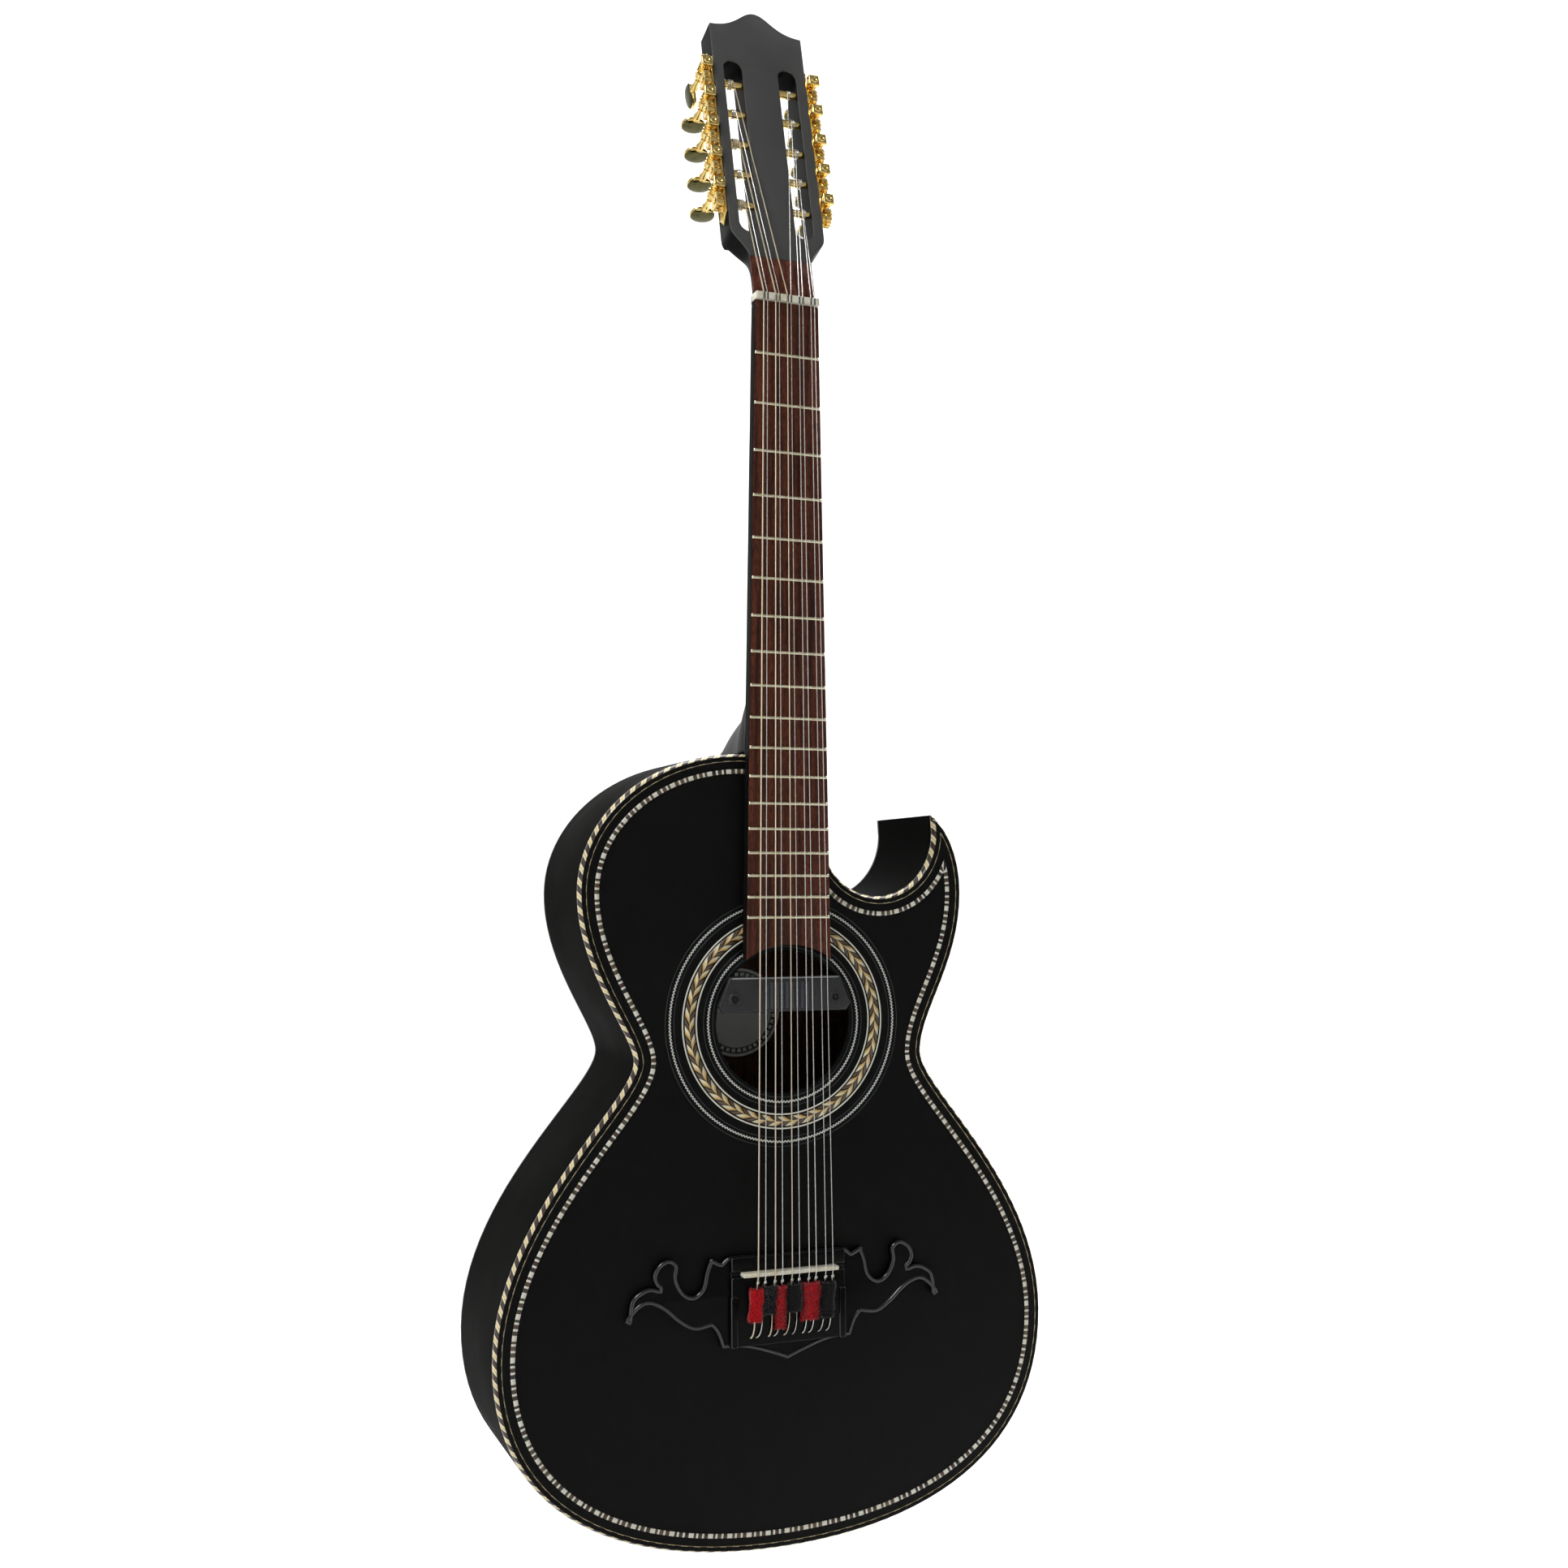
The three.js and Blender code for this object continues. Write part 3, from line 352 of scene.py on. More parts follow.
@dataclass(frozen=True)
class Spruce(Finish):
    """Bare straight-grained softwood."""

    name: str
    pale: tuple = (0.62, 0.44, 0.25)
    dark: tuple = (0.40, 0.24, 0.11)

    def build(self) -> Material:
        """Make the material."""
        g = Graph(self.name)
        grain = g.noise(0.0016, (1, 1, 60), 3)
        tone = g.ramp(grain, [(0.35, self.dark), (0.6, self.pale)])
        return g.shade(Base_Color=tone, Roughness=0.75, Normal=g.bump(grain, 0.00006, 0.5))


@dataclass(frozen=True)
class Bone(Finish):
    """Pale dense bone, yellower in soft clouds."""

    name: str

    def build(self) -> Material:
        """Make the material."""
        g = Graph(self.name)
        cloud = g.noise(0.006, detail=4)
        tone = g.ramp(cloud, [(0.35, (0.78, 0.70, 0.50)), (0.6, (0.90, 0.86, 0.74))])
        normal = g.bump(g.noise(0.0007, (4, 1, 1), 2), 0.00002, 0.5)
        return g.shade(Base_Color=tone, Roughness=g.between(cloud, 0.28, 0.42), Normal=normal,
                       Subsurface_Weight=0.12, Subsurface_Radius=(0.001, 0.0008, 0.0005))


@dataclass(frozen=True)
class Metal(Finish):
    """Plated or drawn metal with faint handling marks."""

    name: str
    tone: tuple = (0.86, 0.62, 0.24)
    gloss: float = 0.14
    wear: tuple = (0.62, 0.42, 0.15)

    def build(self) -> Material:
        """Make the material."""
        g = Graph(self.name)
        smear = g.noise(0.004, detail=5)
        tone = g.mix(g.between(smear, 0.0, 0.8, 0.5, 0.75), self.tone, self.wear)
        rough = g.between(smear, self.gloss, self.gloss + 0.16, 0.4, 0.75)
        normal = g.bump(g.noise(0.0006, (1, 5, 1), 2), 0.00001, 0.4)
        return g.shade(Base_Color=tone, Metallic=1.0, Roughness=rough, Normal=normal)


@dataclass(frozen=True)
class WoundWire(Finish):
    """Wire with a close winding, whose turns cross the string, with painted shade in the grooves between the
    turns.
    """

    name: str
    tone: tuple = (0.92, 0.82, 0.62)
    turn: float = 0.00045

    def build(self) -> Material:
        """Make the material."""
        g = Graph(self.name)
        phase = g.math("MULTIPLY", g.axes("UV")["x"], 2 * math.pi / self.turn)
        ridge = g.math("ABSOLUTE", g.math("SINE", g.math("MULTIPLY", phase, 0.5)))
        # Painted shade: the grooves between the turns are coloured dark brown.
        tone = g.mix(g.between(ridge, 0.0, 1.0, 0.0, 0.4), (0.20, 0.13, 0.07), self.tone)
        return g.shade(Base_Color=tone, Metallic=1.0, Roughness=0.28, Normal=g.bump(ridge, 0.0001, 0.8))


@dataclass(frozen=True)
class MouldedPlastic(Finish):
    """Dark moulded plastic with a fine spark-eroded grain."""

    name: str
    tone: tuple = (0.022, 0.022, 0.024)
    gloss: float = 0.34

    def build(self) -> Material:
        """Make the material."""
        g = Graph(self.name)
        spark = g.noise(0.00035, detail=2)
        cloud = g.noise(0.02, detail=3)
        rough = g.between(cloud, self.gloss, self.gloss + 0.14, 0.3, 0.7)
        tone = g.mix(g.between(cloud, 0.0, 0.5, 0.4, 0.8), self.tone, tuple(c * 1.7 for c in self.tone))
        return g.shade(Base_Color=tone, Roughness=rough, Normal=g.bump(spark, 0.00003, 0.5))


@dataclass(frozen=True)
class Pile(Finish):
    """Short soft pile of a chenille or velvet ribbon."""

    name: str
    tone: tuple = (0.66, 0.006, 0.014)
    deep: tuple = (0.20, 0.002, 0.004)

    def build(self) -> Material:
        """Make the material."""
        g = Graph(self.name)
        tuft = g.noise(0.0011, detail=4)
        tone = g.ramp(tuft, [(0.36, self.deep), (0.6, self.tone)])
        return g.shade(Base_Color=tone, Roughness=0.95, Sheen_Weight=0.6, Sheen_Roughness=0.4,
                       Specular_IOR_Level=0.1, Normal=g.bump(tuft, 0.0006, 0.9))


@dataclass(frozen=True)
class Paper(Finish):
    """A printed paper disc: pale grey stock, a ruled border and a plain scale of ticks."""

    name: str
    radius: float = 0.033
    centre: tuple = (0.0, 0.0)

    def build(self) -> Material:
        """Make the material."""
        g = Graph(self.name)
        place = g.axes()
        x = g.math("SUBTRACT", place["x"], self.centre[0])
        z = g.math("SUBTRACT", place["z"], self.centre[1])
        reach = g.math("SQRT", g.math("ADD", g.math("MULTIPLY", x, x), g.math("MULTIPLY", z, z)))
        share = g.math("DIVIDE", reach, self.radius)
        turn = g.math("FRACT", g.math("MULTIPLY", g.math("ARCTAN2", x, z), 40 / (2 * math.pi)))
        tick = g.math("LESS_THAN", turn, 0.35)
        stock = (0.80, 0.80, 0.78)
        ink = (0.04, 0.04, 0.045)
        rings = g.ramp(share, [(0.0, stock), (0.80, ink), (0.82, stock), (0.90, ink), (0.93, stock)], True)
        band = g.math("MULTIPLY", g.math("GREATER_THAN", share, 0.82), g.math("LESS_THAN", share, 0.90))
        tone = g.mix(g.math("MULTIPLY", band, tick), rings, ink)
        fibre = g.noise(0.0012, detail=4)
        tone = g.mix(g.between(fibre, 0.0, 0.35, 0.4, 0.8), tone, (0.58, 0.57, 0.54))
        return g.shade(Base_Color=tone, Roughness=0.8, Normal=g.bump(fibre, 0.00003, 0.4))


@dataclass(frozen=True)
class RopeInlay(Finish):
    """Twisted two-wood rope: slanting pale and dark blocks along the strip, from its UV in metres."""

    name: str
    turn: float = 0.0093
    lean: float = 0.0052
    width: float = 0.0083

    def build(self) -> Material:
        """Make the material."""
        g = Graph(self.name)
        uv = g.axes("UV")
        across = g.math("DIVIDE", uv["y"], self.width)
        half_turn = g.math("MULTIPLY", g.math("SUBTRACT", across, 0.5), math.pi)
        swing = g.math("MULTIPLY", g.math("SINE", half_turn), 0.5)
        lean = g.math("MULTIPLY", swing, self.lean)
        phase = g.math("FRACT", g.math("DIVIDE", g.math("SUBTRACT", uv["x"], lean), self.turn))
        pale, amber = (0.88, 0.79, 0.52), (0.74, 0.46, 0.10)
        dark, brown = (0.004, 0.002, 0.002), (0.030, 0.008, 0.006)
        blocks = g.ramp(phase, [(0.0, dark), (0.05, pale), (0.20, pale), (0.28, amber), (0.36, pale),
                                (0.50, pale), (0.53, dark), (0.70, brown), (0.86, brown), (0.97, dark)])
        grain = g.noise(0.0004, (1, 8, 1), 2, "UV")
        blocks = g.mix(g.between(grain, 0.0, 0.3, 0.45, 0.75), blocks, (0.30, 0.17, 0.07))
        edge = g.math("GREATER_THAN", across, 0.965)
        tone = g.mix(edge, blocks, (0.34, 0.27, 0.14))
        seam = g.between(g.math("ABSOLUTE", g.math("SUBTRACT", phase, 0.515)), 0.0, 1.0, 0.0, 0.04)
        return g.shade(Base_Color=tone, Roughness=0.32, Normal=g.bump(seam, 0.00006, 0.5), Coat_Weight=0.15,
                       Coat_Roughness=0.1)


@dataclass(frozen=True)
class CheckInlay(Finish):
    """A thin inlaid line of long pale blocks parted by pairs of short ones."""

    name: str
    turn: float = 0.0137

    def build(self) -> Material:
        """Make the material."""
        g = Graph(self.name)
        uv = g.axes("UV")
        phase = g.math("FRACT", g.math("DIVIDE", uv["x"], self.turn))
        pale, black, brown = (0.88, 0.85, 0.74), (0.006, 0.005, 0.006), (0.060, 0.016, 0.010)
        stops = [(0.0, pale), (0.26, black), (0.385, pale), (0.495, black), (0.54, brown), (0.64, black),
                 (0.69, pale), (0.80, black), (0.92, black)]
        cell = g.math("FLOOR", g.math("DIVIDE", uv["x"], self.turn))
        shade = g.node("TexWhiteNoise", {"W": cell}, noise_dimensions="1D").outputs[0]
        tone = g.mix(g.math("MULTIPLY", shade, 0.18), g.ramp(phase, stops, True), (0.55, 0.42, 0.22))
        return g.shade(Base_Color=tone, Roughness=0.3, Coat_Weight=0.15, Coat_Roughness=0.1)


@dataclass(frozen=True)
class LeafInlay(Finish):
    """A band of slanting leaves on both sides of a middle line, pale and dark in turn."""

    name: str
    turn: float = 0.0118
    half: float = 0.0035
    slant: float = 0.0062

    def build(self) -> Material:
        """Make the material."""
        g = Graph(self.name)
        uv = g.axes("UV")
        off = g.math("SUBTRACT", uv["y"], self.half)
        share = g.math("DIVIDE", g.math("ABSOLUTE", off), self.half)
        lean = g.math("MULTIPLY", g.math("POWER", share, 0.8), self.slant)
        step = g.math("MULTIPLY", g.math("GREATER_THAN", off, 0.0), self.turn * 0.5)
        along = g.math("ADD", g.math("ADD", uv["x"], lean), step)
        phase = g.math("FRACT", g.math("DIVIDE", along, self.turn))
        pale, amber = (0.88, 0.80, 0.56), (0.72, 0.45, 0.12)
        black, brown = (0.006, 0.004, 0.003), (0.13, 0.075, 0.040)
        leaves = g.ramp(phase, [(0.0, black), (0.06, pale), (0.27, pale), (0.36, amber), (0.48, amber),
                                (0.53, black), (0.66, black), (0.72, brown), (0.88, brown), (0.94, black)])
        heart = g.between(share, 0.55, 0.0, 0.0, 0.45)
        tone = g.mix(g.math("MULTIPLY", heart, g.math("LESS_THAN", phase, 0.5)), leaves, amber)
        rim = g.between(share, 0.0, 1.0, 0.86, 0.96)
        tone = g.mix(rim, tone, black)
        return g.shade(Base_Color=tone, Roughness=0.3, Coat_Weight=0.15, Coat_Roughness=0.1)


@dataclass(frozen=True)
class PlainInlay(Finish):
    """A single-coloured inlaid line with a little woody variation."""

    name: str
    tone: tuple = (0.86, 0.83, 0.72)
    gloss: float = 0.3

    def build(self) -> Material:
        """Make the material."""
        g = Graph(self.name)
        cloud = g.noise(0.003, detail=4)
        tone = g.mix(g.between(cloud, 0.0, 0.5, 0.4, 0.8), self.tone, tuple(c * 0.75 for c in self.tone))
        return g.shade(Base_Color=tone, Roughness=self.gloss)


# A lacquer's numbers are its tone, gloss, haze, ripple, level, coat and grain.
FRONT_LACQUER = Lacquer("front_lacquer", (0.0040, 0.0042, 0.0040), 0.40, 0.12, 0.00003, 0.10, 0.0, 1.0)
SHELL_LACQUER = Lacquer("shell_lacquer", (0.0025, 0.0026, 0.0023), 0.45, 0.12, 0.00004, 0.004)
BACK_LACQUER = Lacquer("back_lacquer", (0.0040, 0.0041, 0.0038), 0.24, 0.10, 0.00004, 0.22)
NECK_LACQUER = Lacquer("neck_lacquer", (0.0056, 0.0058, 0.0056), 0.36, 0.10, 0.00003, 0.025)
BRIDGE_LACQUER = Lacquer("bridge_lacquer", (0.0022, 0.0022, 0.0022), 0.20, 0.05, 0.00003, 0.10)
BRIDGE_EDGE = Lacquer("bridge_edge_polish", (0.004, 0.004, 0.004), 0.14, 0.05, 0.00002, 0.95)
# Painted reflection: the black head plate's lacquer is given a grey tone that stands in for the light it
# reflects.
HEAD_PLATE_PAINTED_SHEEN = Lacquer("head_face", (0.084, 0.084, 0.082), 0.44, 0.14, 0.00003, 0.30, 0.0, 1.0)
FINGERBOARD_WOOD = Rosewood("fingerboard_wood")
ROOT_WOOD = Rosewood("head_root_wood", (0.17, 0.048, 0.026), (0.055, 0.013, 0.008))
INNER_BACK = Rosewood("inner_back_wood", (0.075, 0.032, 0.016), (0.030, 0.011, 0.006))
INNER_WOOD = Spruce("inner_wood")
BONE = Bone("bone")
GOLD = Metal("gold_plate", (0.90, 0.66, 0.24), 0.12, (0.50, 0.32, 0.10))
# Painted shade: the gold darkened for the buttons' broad faces, standing in for the dark surroundings they
# reflect.
SHADED_BUTTON_GOLD = Metal("button_gold", (0.085, 0.078, 0.034), 0.10, (0.04, 0.036, 0.016))
FRET_WIRE = Metal("fret_wire", (0.90, 0.84, 0.62), 0.16, (0.62, 0.55, 0.34))
CHROME = Metal("chrome", (0.86, 0.87, 0.88), 0.06, (0.6, 0.6, 0.62))
STEEL_WIRE = Metal("steel_wire", (0.92, 0.90, 0.86), 0.20, (0.75, 0.72, 0.64))
WOUND_WIRE = WoundWire("wound_wire")
PICKUP_PLASTIC = MouldedPlastic("pickup_plastic")
PICKUP_RIBS = MouldedPlastic("pickup_ribs", (0.055, 0.060, 0.075), 0.25)
# Painted highlight: a pale grey for the strip along the pickup's top edge.
PICKUP_PAINTED_HIGHLIGHT = MouldedPlastic("pickup_edge", (0.30, 0.30, 0.31), 0.25)
BLACK_SCREW = Metal("black_screw", (0.030, 0.030, 0.032), 0.22, (0.012, 0.012, 0.012))
# Painted shade for the side walls of the nut's slots.
NUT_SLOT_SHADE = Metal("slot_graphite", (0.020, 0.018, 0.016), 0.55, (0.010, 0.009, 0.008))
RED_PILE = Pile("red_pile")
BLACK_PILE = Pile("black_pile", (0.010, 0.010, 0.010), (0.003, 0.003, 0.003))
ROPE = RopeInlay("rope_inlay")
CHECK = CheckInlay("check_inlay")
LEAVES = LeafInlay("leaf_inlay")
PALE_LINE = PlainInlay("pale_line")
GREY_LINE = PlainInlay("grey_line", (0.045, 0.055, 0.060), 0.25)


# --- Making pieces ---


def at(level: Level, z: float) -> float:
    """A level that may change with height."""
    return level(z) if callable(level) else level


def new_vertices(grown: dict) -> list[bmesh.types.BMVert]:
    """The vertices in an operator's result."""
    return [item for item in grown["geom"] if isinstance(item, bmesh.types.BMVert)]


def finish_piece(
    bm: Mesh,
    name: str,
    finishes: Sequence[Finish],
    body: str = BODY,
    replaces: Iterable[str] = (),
    crease: float = 35.0,
    place: Matrix | None = None,
    solid: float = 0.0,
) -> Piece:
    """Turn a mesh in millimetres into a piece in metres that rides on a body.

    Args:
        bm: The mesh, which is used up.
        name: The piece's name.
        finishes: One finish for each material number of its faces.
        body: The frame's body that it moves with.
        replaces: The frame's nodes that it stands for.
        crease: Edges sharper than this many degrees stay sharp.
        place: A matrix, in millimetres, from the piece's own place to the frame.
        solid: Wall thickness given to an open skin, towards its inside.

    Returns:
        The piece.
    """
    bmesh.ops.remove_doubles(bm, verts=bm.verts, dist=1e-4)
    if not solid:
        bmesh.ops.recalc_face_normals(bm, faces=bm.faces)
    if place is not None:
        bmesh.ops.transform(bm, matrix=place, verts=bm.verts)
    bmesh.ops.scale(bm, vec=(MM, MM, MM), verts=bm.verts)
    mesh = bpy.data.meshes.new(name)
    bm.to_mesh(mesh)
    bm.free()
    mesh.polygons.foreach_set("use_smooth", [True] * len(mesh.polygons))
    mesh.set_sharp_from_angle(angle=math.radians(crease))
    for finish in finishes:
        mesh.materials.append(finish.material)
    piece = bpy.data.objects.new(name, mesh)
    bpy.context.scene.collection.objects.link(piece)
    if solid:
        wall = piece.modifiers.new("wall", "SOLIDIFY")
        wall.thickness = solid * MM
        wall.offset = -1
    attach(piece, body)
    nodes = list(replaces)
    if nodes:
        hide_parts(*nodes)
    log.info("%s: %d faces on %s", name, len(mesh.polygons), body)
    return piece


def round_edges(bm: Mesh, edges: Sequence[bmesh.types.BMEdge], radius: float, steps: int) -> None:
    """Round some of a mesh's edges."""
    bmesh.ops.bevel(bm, geom=edges, offset=radius, offset_type="OFFSET", segments=steps, profile=0.5,
                    affect="EDGES", material=-1, clamp_overlap=True)


def flat_plate(loops: Sequence[Plan], front: Level, back: Level, round_front: float = 0.0,
               round_back: float = 0.0, steps: int = 3) -> Mesh:
    """A plate drawn in the soundboard's plane, with its rims rounded.

    Args:
        loops: The outline and then any holes.
        front: The front face's level.
        back: The back face's level.
        round_front: Radius of the front rims.
        round_back: Radius of the back rims.
        steps: Segments in each rounding.

    Returns:
        The closed mesh.
    """
    bm = bmesh.new()
    for loop in loops:
        corners = [bm.verts.new((p[0], 0.0, p[1])) for p in loop]
        for i, corner in enumerate(corners):
            bm.edges.new((corners[i - 1], corner))
    if len(loops) == 1:
        bmesh.ops.contextual_create(bm, geom=bm.edges[:])
    else:
        bmesh.ops.triangle_fill(bm, edges=bm.edges[:], use_beauty=True)
    rear = set(new_vertices(bmesh.ops.extrude_face_region(bm, geom=bm.faces[:])))
    for vertex in bm.verts:
        vertex.co.y = at(back if vertex in rear else front, vertex.co.z)
    bmesh.ops.recalc_face_normals(bm, faces=bm.faces)
    for radius, face in ((round_front, front), (round_back, back)):
        if radius > 0:
            rim = [edge for edge in bm.edges
                   if len(edge.link_faces) == 2 and edge.calc_face_angle(0.0) > math.radians(50)
                   and all(abs(v.co.y - at(face, v.co.z)) < 1e-3 for v in edge.verts)]
            round_edges(bm, rim, radius, steps)
    return bm


def skin(rings: Sequence[Sequence[Vector]], closed: bool = True, caps: bool = False,
         along: Sequence[float] | None = None, across: Sequence[float] | None = None) -> Mesh:
    """A skin drawn out of one ring of points through the others.

    Args:
        rings: Rings with the same number of points.
        closed: Whether each ring closes on itself.
        caps: Whether the first and last rings are filled.
        along: For a UV map, the distance at each point of a ring, with one more where it closes.
        across: For a UV map, the distance of each ring.

    Returns:
        The mesh.
    """
    bm = bmesh.new()
    station = bm.verts.layers.int.new("station")
    level = bm.verts.layers.int.new("level")
    count = len(rings[0])
    row = [bm.verts.new(point) for point in rings[0]]
    for i, vertex in enumerate(row):
        vertex[station] = i
    edges = [bm.edges.new((row[i - 1], row[i])) for i in range(0 if closed else 1, count)]
    first = list(edges)
    for number, ring in enumerate(rings[1:], 1):
        grown = bmesh.ops.extrude_edge_only(bm, edges=edges)
        fresh = set(new_vertices(grown))
        for vertex in fresh:
            vertex.co = ring[vertex[station]]
            vertex[level] = number
        edges = [e for e in grown["geom"]
                 if isinstance(e, bmesh.types.BMEdge) and all(v in fresh for v in e.verts)]
    if along is not None and across is not None:
        uv = bm.loops.layers.uv.new("strip")
        for face in bm.faces:
            wraps = {v[station] for v in face.verts} >= {0, count - 1}
            for corner in face.loops:
                step = corner.vert[station]
                place = along[count] if wraps and step == 0 else along[step]
                corner[uv].uv = (place * MM, across[corner.vert[level]] * MM)
    if caps:
        for rim in (first, edges):
            bmesh.ops.contextual_create(bm, geom=rim)
    return bm


def lathe(profile: Sequence[tuple[float, float]], steps: int = 24) -> Mesh:
    """A profile spun round the Y axis.

    Args:
        profile: Pairs of radius and height.
        steps: Flats round it.

    Returns:
        The mesh, with its faces pointing out.
    """
    bm = bmesh.new()
    points = [bm.verts.new((radius, height, 0.0)) for radius, height in profile]
    edges = [bm.edges.new(pair) for pair in zip(points, points[1:])]
    bmesh.ops.spin(bm, geom=points + edges, cent=(0, 0, 0), axis=(0, 1, 0), angle=2 * math.pi, steps=steps,
                   use_merge=True, use_duplicate=False)
    bmesh.ops.remove_doubles(bm, verts=bm.verts, dist=1e-4)
    bmesh.ops.recalc_face_normals(bm, faces=bm.faces)
    return bm


def block(low: Sequence[float], high: Sequence[float], rounding: float = 0.0, steps: int = 3) -> Mesh:
    """A box between two corners, with all its edges rounded.

    Args:
        low: Its lowest corner.
        high: Its highest corner.
        rounding: Radius of its edges.
        steps: Segments in each rounding.

    Returns:
        The mesh.
    """
    bm = bmesh.new()
    bmesh.ops.create_cube(bm, size=1.0)
    size = [b - a for a, b in zip(low, high)]
    middle = [(a + b) / 2 for a, b in zip(low, high)]
    bmesh.ops.scale(bm, vec=size, verts=bm.verts)
    bmesh.ops.translate(bm, vec=middle, verts=bm.verts)
    if rounding > 0:
        round_edges(bm, bm.edges[:], rounding, steps)
    return bm


def join(target: Mesh, *others: Mesh, place: Matrix | None = None) -> Mesh:
    """Add other meshes to the first one.

    Args:
        target: The mesh that grows.
        others: The meshes that are used up.
        place: A matrix that places them first.

    Returns:
        The first mesh.
    """
    for other in others:
        if place is not None:
            bmesh.ops.transform(other, matrix=place, verts=other.verts)
        mesh = bpy.data.meshes.new("joined")
        other.to_mesh(mesh)
        other.free()
        target.from_mesh(mesh)
        bpy.data.meshes.remove(mesh)
    return target


def spline(points: Sequence[Sequence[float]], steps: int, closed: bool = False) -> list[Vector]:
    """A smooth line through points.

    Args:
        points: The points it passes, with any number of coordinates.
        steps: Pieces between each two of them.
        closed: Whether it returns to its start.

    Returns:
        Its points.
    """
    nodes = [Vector(p) for p in points]
    count = len(nodes)
    spans = count if closed else count - 1
    pick = (lambda i: nodes[i % count]) if closed else (lambda i: nodes[max(0, min(count - 1, i))])
    line: list[Vector] = []
    for i in range(spans):
        a, b, c, d = pick(i - 1), pick(i), pick(i + 1), pick(i + 2)
        for k in range(steps):
            t = k / steps
            line.append(0.5 * (2 * b + (c - a) * t + (2 * a - 5 * b + 4 * c - d) * t**2
                               + (3 * b - a - 3 * c + d) * t**3))
    if not closed:
        line.append(nodes[-1])
    return line


def cubic(points: Sequence[Sequence[float]], steps: int) -> Plan:
    """Points along a cubic curve.

    Args:
        points: Its start, its two handles and its end.
        steps: Pieces of the curve.

    Returns:
        Its points, with both ends.
    """
    a, b, c, d = (Vector(p) for p in points)
    shares = [i / steps for i in range(steps + 1)]
    return [(1 - t) ** 3 * a + 3 * (1 - t) ** 2 * t * b + 3 * (1 - t) * t**2 * c + t**3 * d for t in shares]


def circle(centre: Sequence[float], radius: float, count: int = 96) -> Plan:
    """Points round a circle in the soundboard's plane."""
    angles = (2 * math.pi * i / count for i in range(count))
    return [Vector((centre[0] + radius * math.cos(a), centre[1] + radius * math.sin(a))) for a in angles]


def wire(name: str, routes: Sequence[Sequence[Vector]], radius: float, finish: Finish, body: str = BODY,
         replaces: Iterable[str] = (), sides: int = 10) -> Piece:
    """Round wire along one or more routes, as one piece.

    Args:
        name: The piece's name.
        routes: Lines of points in millimetres.
        radius: The wire's radius.
        finish: Its finish.
        body: The body that it rides on.
        replaces: The nodes that it stands for.
        sides: Sides of the wire's section.

    Returns:
        The piece.
    """
    whole = bmesh.new()
    for route in routes:
        rings, lengths, run = [], [], 0.0
        along = [2 * math.pi * radius * i / sides for i in range(sides + 1)]
        side = Vector((0.3, 1, 0.2))  # in line with no route's start
        for i, point in enumerate(route):
            ahead = (route[min(i + 1, len(route) - 1)] - route[max(i - 1, 0)]).normalized()
            side = (side - ahead * side.dot(ahead)).normalized()
            up = ahead.cross(side)
            rings.append([point + radius * (math.cos(a) * side + math.sin(a) * up)
                          for a in (2 * math.pi * k / sides for k in range(sides))])
            run += (point - route[i - 1]).length if i else 0.0
            lengths.append(run)
        tube = skin(rings, closed=True, caps=True, along=along, across=lengths)
        uv = tube.loops.layers.uv["strip"]
        for face in tube.faces:
            for corner in face.loops:
                corner[uv].uv = corner[uv].uv.yx
        join(whole, tube)
    return finish_piece(whole, name, [finish], body, replaces, crease=50)


# --- Studio ---


